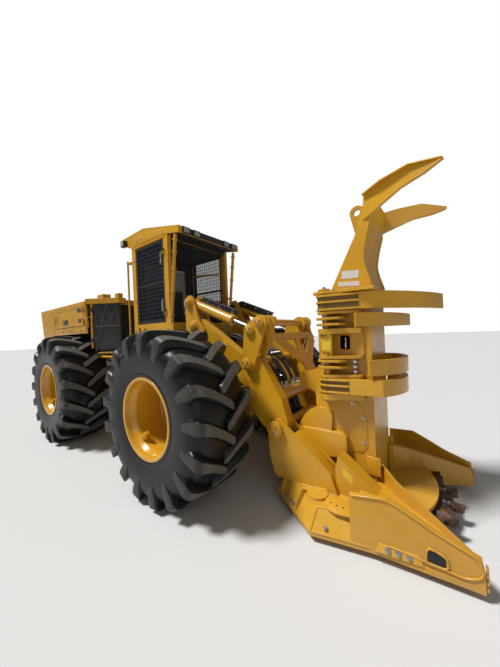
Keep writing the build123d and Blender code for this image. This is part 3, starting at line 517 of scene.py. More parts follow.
# name, colour, roughness, metal, opacity
PLAIN = [
    ("rod_chrome", (0.52, 0.52, 0.54), 0.14, 1.0, 1.0),
    ("zinc_steel", (0.42, 0.41, 0.38), 0.34, 0.9, 1.0),
    ("hose_rubber", (0.010, 0.010, 0.011), 0.45, 0.0, 1.0),
    ("cab_glass", (0.06, 0.07, 0.07), 0.03, 0.0, 0.07),
    ("door_glass", (0.012, 0.020, 0.034), 0.04, 0.0, 0.62),
    ("tinted_glass", (0.020, 0.028, 0.036), 0.04, 0.0, 0.45),
    ("lamp_lens", (0.36, 0.38, 0.40), 0.08, 0.0, 1.0),
    ("blank_white", (0.62, 0.60, 0.55), 0.40, 0.0, 1.0),
    ("blank_yellow", (0.72, 0.48, 0.02), 0.35, 0.0, 1.0),
    ("latch_red", (0.42, 0.020, 0.016), 0.35, 0.0, 1.0),
    # the dark lining is the real dark sheet of the cab's lining, consoles and bay screen, and painted shade
    # in the deck holes, the horn windows and under the roof's overhang
    ("lining_and_painted_shade", (0.016, 0.016, 0.017), 0.80, 0.0, 1.0),
    # painted shade: the shaded gold fills the gaps between the gathering arms' root plates
    ("painted_shade_gold", (0.150, 0.080, 0.009), 0.60, 0.0, 1.0),
    # painted light: the grey panel stands in for the bright view through the cab's rear window
    ("painted_window_light", (0.50, 0.52, 0.53), 0.45, 0.0, 1.0),
    ("brace_grey", (0.14, 0.145, 0.15), 0.50, 0.3, 1.0),
]
finish = {"gold": gold_paint, "black": black_paint, "cast": cast_grey, "steel": steel}
for name, colour, roughness, metal, opacity in PLAIN:
    finish[name], shader, coords = new_material(name)
    darker = tuple(0.82 * c for c in colour)
    link(blended(noise(coords, 14.0, 5.0), colour, darker), shader.inputs["Base Color"])
    link(span(noise(coords, 22.0, 5.0), 0.3, 0.7, roughness, min(1.0, roughness + 0.12)),
         shader.inputs["Roughness"])
    settle(shader, Metallic=metal, Alpha=opacity)


def spot(x, y, z):
    """A place given from the front axle and the soft ground, in the part frame."""
    return DATUM + Vector((x, y, z))


def lofted(shape, outlines):
    """A solid through outlines of (x, y, z) places, capped at both ends."""
    skinned(shape, [[shape.verts.new(spot(*place)) for place in outline] for outline in outlines])


def box(shape, x0, x1, y0, y1, z0, z1):
    """A block between limits; its two y values come in either order."""
    prism(shape, [(x0, z0), (x1, z0), (x1, z1), (x0, z1)], y0, y1)


def prism(shape, outline, y0, y1):
    """A plate cut to an (x, z) outline, between two y values in either order."""
    lofted(shape, [[(x, y, z) for x, z in outline] for y in sorted((y0, y1))])


def flat(shape, outline, z0, z1):
    """A plate cut to an (x, y) outline, from z0 to z1."""
    lofted(shape, [[(x, y, z) for x, y in outline] for z in (z0, z1)])


def circle(shape, centre, across, upward, radius, sides):
    """A ring of vertices round a centre, in the plane of two directions."""
    turns = [2 * math.pi * k / sides for k in range(sides)]
    return [shape.verts.new(centre + radius * (across * math.cos(t) + upward * math.sin(t))) for t in turns]


def rod(shape, start, end, radius, sides=20):
    """A round bar between two (x, y, z) places."""
    tube(shape, [start, end], radius, sides, 0)


def collar(shape, start, end, inner, outer, sides=32):
    """A flat-ended ring around the line between two (x, y, z) places."""
    start, end = spot(*start), spot(*end)
    across = (end - start).orthogonal().normalized()
    upward = (end - start).cross(across).normalized()
    skinned(shape, [circle(shape, centre, across, upward, radius, sides) for centre, radius in
                    ((start, inner), (start, outer), (end, outer), (end, inner))], closed=True)


def tube(shape, places, radius, sides=12, bend=0.05):
    """A bent tube through places, with rounded corners."""
    path = [spot(*place) for place in places]
    route = [path[0]]
    for before, corner, after in zip(path, path[1:], path[2:]):
        into, out = (before - corner), (after - corner)
        cut = min(bend, BEND_SHARE * into.length, BEND_SHARE * out.length)
        first, last = corner + into.normalized() * cut, corner + out.normalized() * cut
        for step in range(BEND_STEPS + 1):
            u = step / BEND_STEPS
            route.append(first.lerp(corner, u).lerp(corner.lerp(last, u), u))
    route.append(path[-1])
    across = (route[1] - route[0]).normalized().orthogonal().normalized()
    rings = []
    for k, place in enumerate(route):
        ahead = (route[min(k + 1, len(route) - 1)] - route[max(k - 1, 0)]).normalized()
        across = (across - ahead * across.dot(ahead)).normalized()
        rings.append(circle(shape, place, across, ahead.cross(across), radius, sides))
    skinned(shape, rings)


def piece(shape, name, look, body, soft=0.003, smooth=35.0):
    """Finish a worked shape: soften its edges, paint it and let it ride on a body."""
    bmesh.ops.recalc_face_normals(shape, faces=shape.faces)
    if soft:
        hard = [edge for edge in shape.edges if len(edge.link_faces) == 2
                and edge.calc_face_angle(0) > HARD_EDGE]
        bmesh.ops.bevel(shape, geom=hard, offset=soft, segments=2, profile=0.6, affect="EDGES",
                        clamp_overlap=True)
    return set_down(shape, name, finish[look], body, smooth)


coat_slot(black_paint, "black_paint")
coat_slot(cast_grey, "grey_metal")
coat_slot(finish["rod_chrome"], "rod_chrome")
coat_node(finish["cab_glass"], "windshield")
coat_node(gold_paint, "cab_rails", "link_shaft", "crank_shaft", "head_shaft")


# Engine hood skins: pressed side doors in gold with a raised rim, a T-handle, a small louvre and two leaf
# hinges, narrow end strips held by four bolts, and a skirt over each tyre. Folded sheet steel, bolted on.
# x0, x1, z0, z1 of each bar
DOOR_RIM = [(-4.11, -2.51, 2.285, 2.312), (-4.11, -2.51, 1.970, 1.997), (-4.11, -4.083, 1.997, 2.285),
            (-2.537, -2.51, 1.997, 2.285)]
# x0, x1, z0, z1, how far it stands out and how far behind the face it starts
HANDLE = [(-3.928, -3.912, 2.180, 2.196, 0.030, 0.002), (-3.868, -3.852, 2.180, 2.196, 0.030, 0.002),
          (-3.95, -3.83, 2.184, 2.200, 0.034, -0.020), (-3.898, -3.882, 2.020, 2.190, 0.034, -0.020)]
HINGE_X, HINGE_Z, HINGE_HALF, HINGE_TALL = (-2.72, -2.60), (2.030, 2.215), 0.045, 0.065
SLATS, SLAT_Z, SLAT_PITCH, SLAT_TALL = 4, 2.030, 0.020, 0.009
HOOD_TILT, HOOD_LID_Z, SKIRT_BOLT_Z = -0.066, 2.381, 1.885


def door_y(z):
    """The hood door's outer face at a height: it leans in towards the bottom."""
    return 1.024 + 0.0657 * (z - 1.965)


def leaning(shape, side, x0, x1, z0, z1, out, sunk=0.002):
    """A slab on a hood side, from sunk behind the door's face to out before it."""
    plan = [(x0, -sunk), (x1, -sunk), (x1, out), (x0, out)]
    lofted(shape, [[(x, side * (door_y(z) + reach), z) for x, reach in plan] for z in (z0, z1)])


def hood_spot(x, z, side, out):
    """A bolt's place on a hood side, and the way its head faces."""
    return (spot(x, side * (door_y(z) + out), z), (0, side, HOOD_TILT))


for name, side in SIDES:
    body = f"hood_door_{name}"
    shape = bmesh.new()
    for bar in DOOR_RIM:
        leaning(shape, side, *bar, 0.005)
    for bar in HANDLE:
        leaning(shape, side, *bar)
    piece(shape, f"door_rim_{name}", "gold", body, 0.002)
    shape = bmesh.new()
    leaning(shape, side, -3.52, -3.27, 2.020, 2.110, 0.003)
    for x in HINGE_X:
        for z in HINGE_Z:
            leaning(shape, side, x - HINGE_HALF, x + HINGE_HALF, z, z + HINGE_TALL, 0.006)
    piece(shape, f"door_fittings_{name}", "black", body, 0.002)
    shape = bmesh.new()
    for z in (SLAT_Z + SLAT_PITCH * k for k in range(SLATS)):
        leaning(shape, side, -3.51, -3.28, z, z + SLAT_TALL, 0.009)
    piece(shape, f"door_louvre_{name}", "cast", body, 0.001)
    bolts(f"door_bolts_{name}", [hood_spot(x, z, side, 0.006) for x in (-2.745, -2.695, -2.625, -2.575)
                                 for z in (2.046, 2.079, 2.231, 2.264)], 0.007, body)
shape = bmesh.new()
spots = []
for side in (-1, 1):
    leaning(shape, side, -4.215, -2.432, 1.828, 1.948, -0.0015, 0.009)
    leaning(shape, side, -4.222, -4.196, 1.660, 1.945, 0.0, 0.006)
    spots += [hood_spot(x, z, side, -0.002) for z in (1.76, 1.90, 2.10, 2.28) for x in (-4.78, -4.60)]
    spots += [hood_spot(x, SKIRT_BOLT_Z, side, -0.0015) for x in (-4.05, -3.60, -3.15, -2.70, -2.47)]
    spots += [(spot(x, side * y, HOOD_LID_Z), (0, 0, 1)) for x in (-4.70, -4.20) for y in (0.25, 0.75)]
piece(shape, "hood_skirts", "gold", "rear", 0.001)
bolts("hood_bolts", spots, 0.011, "rear")


# Hood top: two filler caps, two lifting lugs, and thin seam strips between the panels of the flat lid.
# Turned caps and cut plate; the caps are screwed in, lugs and strips are welded on.
LIFT_LUG = [(-4.62, 2.378), (-4.62, 2.41), (-4.60, 2.43), (-4.56, 2.43), (-4.54, 2.41), (-4.54, 2.378)]
# x, y, bottom, top, radius of each step
FILLER_CAPS = [(-3.85, -0.72, 2.379, 2.400, 0.055), (-3.85, -0.72, 2.400, 2.418, 0.045),
               (-2.95, 0.60, 2.379, 2.402, 0.050)]
shape = bmesh.new()
for x in (-4.15, -3.30):
    box(shape, x - 0.012, x + 0.012, -1.03, 1.03, 2.3795, 2.3855)
for y in (-0.90, 0.90):
    prism(shape, LIFT_LUG, y - 0.006, y + 0.006)
piece(shape, "hood_seams", "gold", "rear", 0.002)
shape = bmesh.new()
for x, y, low, high, radius in FILLER_CAPS:
    rod(shape, (x, y, low), (x, y, high), radius, 24)
piece(shape, "filler_caps", "black", "rear", 0.003)


# Cooler doors: black mesh on a welded frame of flat bar, braced by thin crossed rods and a middle rail.
# The wires are woven steel, laid in two directions over the frame.
grid_tree, given = new_tree("woven_wires", "Mesh", Strands="Geometry", Wire="Float", Finish="Material")
strand = node(given["Wire"], "GeometryNodeMeshToCurve")
link(given["Strands"], strand.inputs["Mesh"])
round_wire = node(given["Wire"], "GeometryNodeCurvePrimitiveCircle", Resolution=5)
link(given["Wire"], round_wire.inputs["Radius"])
skin = node(given["Wire"], "GeometryNodeCurveToMesh", Fill_Caps=True)
link(strand.outputs[0], skin.inputs["Curve"])
link(round_wire.outputs[0], skin.inputs["Profile Curve"])
end_tree(skin.outputs[0], given["Finish"])


def mesh_panel(name, origin, edge_1, edge_2, pitch, radius, body):
    """Crossed wires over a flat panel, from its corner and its two edges (metres)."""
    corner, u, v = spot(*origin), Vector(edge_1), Vector(edge_2)
    points, edges = [], []
    for edge, other in ((u, v), (v, u)):
        count = max(2, int(round(edge.length / pitch)))
        for k in range(1, count):
            start = corner + edge * (k / count)
            points += [tuple(start), tuple(start + other)]
            edges.append((len(points) - 2, len(points) - 1))
    strands = bpy.data.meshes.new(name)
    strands.from_pydata(points, edges, [])
    grown(grid_tree, strands, name, {"Wire": radius, "Finish": black_paint}, body)


MESH_POST, MESH_TIP, MESH_OUT = Vector((-2.343, 0.942)), Vector((-1.985, 0.672)), 0.003
MESH_LOW, MESH_TALL = 1.535, 0.785
MESH_RUN = MESH_TIP - MESH_POST
MESH_AWAY = Vector((-MESH_RUN.y, MESH_RUN.x)).normalized() * MESH_OUT
# ends of each brace: share of the door's width, height
BRACES = [((0.03, 1.49), (0.50, 2.33)), ((0.97, 1.49), (0.50, 2.33)), ((0.03, 1.94), (0.97, 1.94)),
          ((0.03, 2.33), (0.50, 1.94)), ((0.50, 1.94), (0.97, 2.33))]
for name, side in SIDES:
    shape = bmesh.new()
    for ends in BRACES:
        marks = [(MESH_POST + MESH_RUN * share + MESH_AWAY, z) for share, z in ends]
        rod(shape, *((place.x, side * place.y, z) for place, z in marks), 0.0042, 8)
    piece(shape, f"mesh_braces_{name}", "brace_grey", f"mesh_door_{name}", 0)
    mesh_panel(f"mesh_door_wires_{name}", (MESH_POST.x, side * MESH_POST.y, MESH_LOW),
               (MESH_RUN.x, side * MESH_RUN.y, 0), (0, 0, MESH_TALL), 0.045, 0.0026, f"mesh_door_{name}")


# Side step tubes: a bent tube under each cooler door carries the foot and guards the frame's corner.
# Steel tube, bent and welded on, painted gold.
STEP_TUBE = [(-2.32, 0.80, 1.40), (-2.32, 0.86, 1.42), (-1.80, 0.86, 1.42), (-1.80, 0.74, 1.42)]


def mirrored_y(places, side):
    """Places in plan or in space, carried to the right-hand side by a side of -1."""
    return [(x, side * y, *rest) for x, y, *rest in places]


shape = bmesh.new()
for side in (-1, 1):
    tube(shape, mirrored_y(STEP_TUBE, side), 0.020, 14)
piece(shape, "side_step_tubes", "gold", "rear", 0)


# Bay screen: a dark sheet with woven wire before it closes the front of the engine bay, behind the cab.
# Sheet steel and wire, screwed to the bay's frame.
SCREEN_HALF, SCREEN_LOW, SCREEN_TALL = 0.545, 1.300, 1.025
shape = bmesh.new()
box(shape, -2.1995, -2.192, -SCREEN_HALF, SCREEN_HALF, SCREEN_LOW, SCREEN_LOW + SCREEN_TALL)
piece(shape, "bay_screen", "lining_and_painted_shade", "rear", 0.001)
mesh_panel("bay_screen_wires", (-2.189, -SCREEN_HALF, SCREEN_LOW), (0, 2 * SCREEN_HALF, 0),
           (0, 0, SCREEN_TALL), 0.060, 0.003, "rear")


# Rear grille: a black door of pressed louvres in two columns, in a flat frame, with a small pull near its
# right-hand edge. Folded sheet steel, welded; the pull is bent rod.
# y0, y1, z0, z1 of the frame's bars
GRILLE_BARS = [(-0.750, 0.750, 2.255, 2.285), (-0.750, 0.750, 1.715, 1.745), (-0.750, -0.715, 1.745, 2.255),
               (0.715, 0.750, 1.745, 2.255), (-0.012, 0.012, 1.745, 2.255)]
GRILLE_PULL = [(-4.830, -0.66, 1.96), (-4.848, -0.66, 1.97), (-4.848, -0.66, 2.05), (-4.830, -0.66, 2.06)]
LOUVRES, LOUVRE_LOW, LOUVRE_PITCH = 14, 1.752, 0.036
shape = bmesh.new()
for bar in GRILLE_BARS:
    box(shape, -4.832, -4.824, *bar)
for z in (LOUVRE_LOW + LOUVRE_PITCH * k for k in range(LOUVRES)):
    for y0, y1 in ((-0.710, -0.017), (0.017, 0.710)):
        prism(shape, [(-4.824, z + 0.024), (-4.838, z + 0.006), (-4.838, z), (-4.824, z + 0.004)], y0, y1)
tube(shape, GRILLE_PULL, 0.006, 10, 0.01)
piece(shape, "grille_louvres", "black", "rear_grille", 0.0012)


# Cab doors: a black frame of square tube around dark glass, with a guard of welded wire in front, held
# by coil-sprung hinges and opened by a small red latch. Steel and glass, hinged at the front.
DOOR_HINGES = (2.080, 2.950)
# x0, x1, z0, z1 of the frame's bars
DOOR_BARS = [(-1.494, -0.746, 3.090, 3.134), (-1.494, -0.746, 1.931, 1.975), (-1.494, -1.450, 1.975, 3.090),
             (-0.790, -0.746, 1.975, 3.090), (-1.450, -0.790, 2.500, 2.524)]
SPRING_X, SPRING_Y, SPRING_Z = -0.775, 0.640, (2.10, 2.78)
COIL_R, COIL_TURN, COIL_RISE, COIL_STEPS = 0.014, 0.9, 0.0026, 56
for name, side in SIDES:
    body = f"cab_door_{name}"
    shape = bmesh.new()
    for x0, x1, z0, z1 in DOOR_BARS:
        box(shape, x0, x1, side * 0.575, side * 0.615, z0, z1)
    for z in DOOR_HINGES:
        rod(shape, (-0.728, side * 0.636, z - 0.043), (-0.728, side * 0.636, z + 0.043), 0.012, 20)
        box(shape, -0.772, -0.734, side * 0.613, side * 0.640, z - 0.040, z + 0.040)
    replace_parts(piece(shape, f"door_frame_{name}", "black", body, 0.003), body)
    shape = bmesh.new()
    box(shape, -1.452, -0.788, side * 0.592, side * 0.598, 1.973, 3.092)
    piece(shape, f"door_glass_{name}", "door_glass" if side < 0 else "tinted_glass", body, 0)
    mesh_panel(f"door_guard_{name}", (-1.452, side * 0.607, 1.973), (0.664, 0, 0), (0, 0, 1.119), 0.062,
               0.0045, body)
    shape = bmesh.new()
    box(shape, -1.470, -1.440, side * 0.6125, side * 0.624, 2.50, 2.54)
    rod(shape, (-1.455, side * 0.620, 2.52), (-1.455, side * 0.645, 2.52), 0.013, 16)
    piece(shape, f"door_latch_knob_{name}", "latch_red", body, 0.003)
    shape = bmesh.new()
    for z in SPRING_Z:
        coil = [(SPRING_X + COIL_R * math.cos(COIL_TURN * k),
                 side * (SPRING_Y + COIL_R * math.sin(COIL_TURN * k)), z + COIL_RISE * k)
                for k in range(COIL_STEPS)]
        tube(shape, coil, 0.004, 6, 0)
        rod(shape, (SPRING_X, side * SPRING_Y, z - 0.02), (SPRING_X, side * SPRING_Y, z + 0.165), 0.007, 12)
    piece(shape, f"hinge_springs_{name}", "steel", "front", 0, 60.0)


# Cab corner work: round guard posts with clamps beside the windshield, a header and a gutter strip under
# the roof, and a bent handrail on the lower front panel. Bent tube and plate, gold, bolted and welded.
POST_CREST, POST_FOOT = (-0.470, 0.606, 3.130), (-0.628, 0.606, 1.900)
CLAMP_SHARES, CLAMP_HALF, LOW_CLAMP = (0.10, 0.36, 0.62, 0.80, 0.94), 0.011, 0.4
HANDRAIL = [(-0.60, 0.54, 1.60), (-0.585, 0.54, 1.88), (-0.585, 0.22, 1.80), (-0.60, 0.20, 1.60)]
HEADER = [(-1.55, 3.190), (-0.72, 3.190), (-0.72, 3.250), (-1.22, 3.352), (-1.55, 3.342)]
# x, z, y of each bolt
CAB_BOLTS = [(-1.42, 3.25, 0.629), (-1.28, 3.25, 0.629), (-1.53, 2.30, 0.6205), (-1.53, 2.95, 0.6205),
             (-1.56, 1.82, 0.6205), (-0.70, 1.82, 0.6205)]
shape = bmesh.new()
for side in (-1, 1):
    crest, foot = (Vector(place) for place in mirrored_y([POST_CREST, POST_FOOT], side))
    rod(shape, crest, foot, 0.024)
    for share in CLAMP_SHARES:
        low = foot.lerp(crest, share - CLAMP_HALF)
        rod(shape, low, foot.lerp(crest, share + CLAMP_HALF), 0.034)
        if share < LOW_CLAMP:
            box(shape, -0.645, low.x - 0.015, side * 0.585, side * 0.605, low.z, low.z + 0.026)
    tube(shape, mirrored_y(HANDRAIL, side), 0.013, 12)
piece(shape, "corner_posts", "gold", "front", 0)
shape = bmesh.new()
for side in (-1, 1):
    box(shape, -1.56, -0.70, side * 0.6205, side * 0.628, 3.150, 3.176)
    prism(shape, HEADER, side * 0.6255, side * 0.630)
piece(shape, "cab_headers", "gold", "front", 0.002)
bolts("cab_bolts", [(spot(x, side * y, z), (0, side, 0)) for side in (-1, 1) for x, z, y in CAB_BOLTS],
      0.011, "front")


# Work lamps: square black housings in the roof's front edge and one at each rear corner, with clear
# ribbed lenses in thin bezels. Cast housings on bolted brackets.
FRONT_LAMPS, LENS_RIBS = (-0.50, -0.31, 0.31, 0.50), (-0.024, 0.0, 0.024)
shape = bmesh.new()
glass_shape = bmesh.new()
for y in FRONT_LAMPS:
    box(shape, -0.372, -0.352, y - 0.062, y + 0.062, 3.138, 3.228)
    for rib in LENS_RIBS:
        box(shape, -0.350, -0.347, y + rib - 0.002, y + rib + 0.002, 3.150, 3.218)
    box(glass_shape, -0.354, -0.349, y - 0.046, y + 0.046, 3.150, 3.218)
for side in (-1, 1):
    box(shape, -1.83, -1.73, side * 0.627, side * 0.690, 3.235, 3.335)
    box(glass_shape, -1.836, -1.829, side * 0.637, side * 0.682, 3.245, 3.325)
    box(glass_shape, -1.82, -1.74, side * 0.689, side * 0.694, 3.245, 3.325)
piece(shape, "lamp_housings", "black", "front", 0.004)
piece(glass_shape, "lamp_lenses", "lamp_lens", "front", 0.002)


# Visor shade: painted shade, a dark sheet under the roof's front overhang and over the header above the
# windshield, where the overhang throws its shade.
shape = bmesh.new()
prism(shape, [(-0.6355, 3.1788), (-0.378, 3.1302), (-0.378, 3.1262), (-0.6355, 3.1748)], -0.600, 0.600)
box(shape, -0.6405, -0.6355, -0.555, 0.555, 3.126, 3.1785)
piece(shape, "overhang_shade_sheet", "lining_and_painted_shade", "front", 0)


# Operator's seat: a foam cushion and backrest in black woven cloth with sewn channels, on a steel stand.
# Both are crowned, pull in between their corners and lie flat against the stand. Sewn covers over foam.
PAD_STEPS = 28
# inward pull of the edges and corners, rise of the flat back, least rise, depth and width of a channel
PULL, CORNER, BACK_RISE, LEAST, CHANNEL, CHANNEL_WIDE = 0.035, 0.030, 0.10, 0.42, 0.16, 0.035
# name, middle of the flat back, half sizes along and across, thickness, channels by share across
PADS = [
    ("seat_cushion", (-1.155, 0, 1.755), (0.245, 0, 0), (0, 0.255, 0), (0, 0, 0.122),
     (-0.55, -0.18, 0.18, 0.55)),
    ("seat_back", (-1.466, 0, 2.225), (0, 0, 0.318), (0, 0.245, 0), (0.094, 0, 0), (-0.55, 0.0, 0.55)),
]
SEAT_TUBE = [(-1.390, 0.180, 1.745), (-1.447, 0.180, 1.775), (-1.447, 0.180, 2.300)]
cloth, shader, coords = new_material("seat_cloth")
link(blended(noise(coords, 30.0, 6.0), (0.020, 0.021, 0.024), (0.040, 0.041, 0.045)),
     shader.inputs["Base Color"])
settle(shader, Roughness=0.92, Sheen_Weight=0.25)
thread = node(coords, "ShaderNodeTexWave", Scale=160.0, Distortion=1.5)
link(coords, thread.inputs["Vector"])
bumped(shader, thread.outputs["Fac"], 0.5, 0.001)
finish["seat_cloth"] = cloth


def cushion(name, middle, along, across, up, channels):
    """A crowned pad: middle of its flat back, half sizes along and across, thickness along up."""
    shape = bmesh.new()
    middle, along, across, up = (Vector(v) for v in (middle, along, across, up))
    whole = range(PAD_STEPS)

    def rise_at(layer, puff, v):
        if layer == 0:
            return BACK_RISE * (1 - puff)
        sewn = sum(math.exp(-((v - c) / CHANNEL_WIDE) ** 2) for c in channels)
        return LEAST + (1 - LEAST) * puff ** 0.55 - CHANNEL * puff * sewn

    def corner_at(layer, i, j):
        u, v = 2 * i / PAD_STEPS - 1, 2 * j / PAD_STEPS - 1
        puff = (1 - u ** 6) * (1 - v ** 6)
        drawn = 1 - CORNER * (u * u * v * v) ** 3
        return shape.verts.new(spot(*(middle + along * (u * (1 - PULL * (1 - v * v)) * drawn)
                                      + across * (v * (1 - PULL * (1 - u * u)) * drawn)
                                      + up * rise_at(layer, puff, v))))

    sheets = [[[corner_at(layer, i, j) for j in range(PAD_STEPS + 1)] for i in range(PAD_STEPS + 1)]
              for layer in range(2)]
    for rows in sheets:
        for i in whole:
            for j in whole:
                shape.faces.new((rows[i][j], rows[i + 1][j], rows[i + 1][j + 1], rows[i][j + 1]))
    rim = [(i, 0) for i in whole] + [(PAD_STEPS, j) for j in whole]
    rim += [(i, PAD_STEPS) for i in range(PAD_STEPS, 0, -1)] + [(0, j) for j in range(PAD_STEPS, 0, -1)]
    low, high = sheets
    for (i, j), (m, n) in zip(rim, rim[1:] + rim[:1]):
        shape.faces.new((low[i][j], low[m][n], high[m][n], high[i][j]))
    pad = piece(shape, name, "seat_cloth", "front", 0, 60.0)
    return pad


for pad in PADS:
    cushion(*pad)
shape = bmesh.new()
box(shape, -1.290, -1.010, -0.145, 0.145, 1.332, 1.735)
box(shape, -1.400, -0.930, -0.230, 0.230, 1.732, 1.758)
for side in (-1, 1):
    tube(shape, mirrored_y(SEAT_TUBE, side), 0.014, 12)
stand = piece(shape, "seat_stand", "black", "front", 0.006)
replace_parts(stand, "seat")


# Cab inside: dark padded lining on ceiling and rear wall, a grey rear panel, consoles with two levers,
# and a gold brace bar along the far window. Moulded plastic and foam on steel. The rear panel's light
# grey is painted light, standing in for the bright view through the rear window.
shape = bmesh.new()
box(shape, -1.56, -0.68, -0.555, 0.555, 3.10, 3.128)
box(shape, -1.568, -1.55, -0.555, 0.555, 1.93, 2.14)
box(shape, -1.568, -1.55, -0.555, 0.555, 2.955, 3.10)
for side in (-1, 1):
    box(shape, -1.568, -1.545, side * 0.425, side * 0.555, 2.14, 2.955)
    box(shape, -1.568, -1.505, side * 0.548, side * 0.5585, 1.93, 3.10)
piece(shape, "cab_lining", "lining_and_painted_shade", "front", 0.004)
shape = bmesh.new()
# Painted light: the panel's light grey stands in for the bright view through the rear window.
box(shape, -1.60, -1.59, -0.415, 0.415, 2.155, 2.945)
piece(shape, "rear_window_painted_light", "painted_window_light", "front", 0.004)
mesh_panel("rear_window_guard", (-1.606, -0.415, 2.155), (0, 0.83, 0), (0, 0, 0.79), 0.045, 0.003, "front")
shape = bmesh.new()
for side in (-1, 1):
    box(shape, -1.36, -0.95, side * 0.34, side * 0.46, 1.75, 2.03)
    rod(shape, (-1.00, side * 0.40, 2.02), (-0.98, side * 0.40, 2.16), 0.012, 14)
    rod(shape, (-0.982, side * 0.40, 2.14), (-0.975, side * 0.40, 2.21), 0.022, 16)
box(shape, -0.80, -0.70, 0.25, 0.50, 1.95, 2.30)
piece(shape, "cab_consoles", "lining_and_painted_shade", "front", 0.012)
shape = bmesh.new()
rod(shape, (-1.45, 0.54, 2.86), (-0.80, 0.54, 2.80), 0.018, 14)
piece(shape, "cab_brace_bar", "gold", "front", 0)


# Pin ends: each pivot pin is closed by a stepped steel disc, painted gold and held by three bolts.
# The discs are turned, and drawn up against the plates on both sides.
# name, body, x, z, outer face, disc radius
PIN_ENDS = [
    ("arm_pin", "front", -0.213, 1.834, 0.590, 0.062),
    ("tilt_pin", "tilt_guard", -0.298, 2.158, 0.590, 0.056),
    ("lift_pin", "front", -0.480, 1.180, 0.590, 0.052),
    ("crank_pin", "lift_arms", 0.684, 1.376, 0.590, 0.070),
    ("rod_pin", "cranks", 0.729, 1.753, 0.580, 0.062),
    ("link_pin", "cranks", 0.870, 1.831, 0.590, 0.058),
    ("head_pin", "lift_arms", 1.028, 0.706, 0.600, 0.086),
]
# a step's start and end from the outer face, its share of the disc's radius, sides
PIN_STEPS = [(-0.006, 0.010, 1.0, 32), (0.010, 0.020, 0.72, 32), (0.020, 0.026, 0.30, 20)]
PIN_BOLTS, PIN_BOLT_SHARE, PIN_BOLT_TURN, PIN_BOLT_START = 3, 0.50, 2.1, 0.6
for label, body, x, z, outer, radius in PIN_ENDS:
    for name, side in SIDES:
        shape = bmesh.new()
        for start, end, share, sides in PIN_STEPS:
            rod(shape, (x, side * (outer + start), z), (x, side * (outer + end), z), share * radius, sides)
        rides = f"{body}_{name}" if body == "tilt_guard" else body
        piece(shape, f"{label}_end_{name}", "gold", rides, 0.003)
        spots = []
        for k in range(PIN_BOLTS):
            turn, reach = PIN_BOLT_TURN * k + PIN_BOLT_START, PIN_BOLT_SHARE * radius
            place = (x + reach * math.cos(turn), side * (outer + 0.020), z + reach * math.sin(turn))
            spots.append((spot(*place), (0, side, 0)))
        bolts(f"{label}_bolts_{name}", spots, 0.0085, rides)


# Arms and towers: round bosses where the pins pass the towers and where the lift rods meet the arms, and
# a bare blank plate on each arm. Turned bosses and cut plate, welded on, in gold and plain yellow.
# x, z, radius
TOWER_BOSSES = [(-0.213, 1.834, 0.088), (-0.298, 2.158, 0.078), (-0.480, 1.180, 0.075)]
# start and end across the machine, radius
ROD_BOSS_X, ROD_BOSS_Z, ROD_BOSS = 0.667, 1.049, [(0.518, 0.545, 0.075), (0.545, 0.556, 0.045)]
ARM_PLATE = [(0.290, 1.652), (0.345, 1.614), (0.290, 1.484), (0.235, 1.520)]
towers, arms, plates = bmesh.new(), bmesh.new(), bmesh.new()
for side in (-1, 1):
    for x, z, radius in TOWER_BOSSES:
        rod(towers, (x, side * 0.556, z), (x, side * 0.574, z), radius, 36)
    for start, end, radius in ROD_BOSS:
        rod(arms, (ROD_BOSS_X, side * start, ROD_BOSS_Z), (ROD_BOSS_X, side * end, ROD_BOSS_Z), radius, 32)
    prism(plates, ARM_PLATE, side * 0.5202, side * 0.5222)
piece(towers, "tower_bosses", "gold", "front", 0.004)
piece(arms, "arm_bosses", "gold", "lift_arms", 0.004)
piece(plates, "arm_plates", "blank_yellow", "lift_arms", 0)


# Cylinder fittings: hollow gland and cap rings round the barrels, a steel tube line along each lift
# barrel, and three bolts through each tilt guard. Turned and welded steel, gold.
TILT_LINE = ((-0.298, 2.158), (0.729, 1.753))
LIFT_LINE = ((-0.480, 1.180), (0.667, 1.049))
CYLINDER_Y, RING_WALL = 0.460, 0.012
# kind, pin line, length of the barrel
BARRELS = [("tilt", TILT_LINE, 0.765), ("lift", LIFT_LINE, 0.950)]
GUARD_BOLTS = (0.20, 0.42, 0.66)


def on_line(start, end, distance, height, y):
    """A place beside a cylinder, by distance from its pin and height off its axis."""
    run = Vector((end[0] - start[0], end[1] - start[1])).normalized()
    return (start[0] + run.x * distance - run.y * height, y, start[1] + run.y * distance + run.x * height)


for name, side in SIDES:
    for kind, line, reach in BARRELS:
        shape = bmesh.new()
        for start, stop, radius in ((reach - 0.060, reach - 0.004, 0.070), (0.100, 0.130, 0.067)):
            collar(shape, *(on_line(*line, place, 0, side * CYLINDER_Y) for place in (start, stop)),
                   radius - RING_WALL, radius)
        if kind == "lift":
            tube(shape, [on_line(*line, place, height, side * y) for place, height, y in
                         ((0.14, 0.050, 0.430), (0.15, 0.078, 0.425), (reach - 0.10, 0.078, 0.425),
                          (reach - 0.08, 0.050, 0.430))], 0.011, 12)
        piece(shape, f"{kind}_barrel_fittings_{name}", "gold", f"{kind}_barrel_{name}", 0.002)
    spots = [(spot(*on_line(*TILT_LINE, place, height, side * y)), (0, side * facing, 0))
             for height, y, facing in ((0.088, 0.4035, 1), (0.098, 0.3912, -1)) for place in GUARD_BOLTS]
    bolts(f"guard_bolts_{name}", spots, 0.012, f"tilt_guard_{name}")


# Hydraulic hoses: six rubber hoses leave the frame between the towers, and six run from the valve block
# to saddles on the cross tube, with a wrapped trunk below. Crimped steel ends, screwed on.
# how far out each frame hose runs, how much it sways in height
FRAME_RUNS = [(-0.19, 0.0), (-0.10, 0.03), (-0.045, -0.02), (0.03, 0.02), (0.11, -0.01), (0.18, 0.03)]
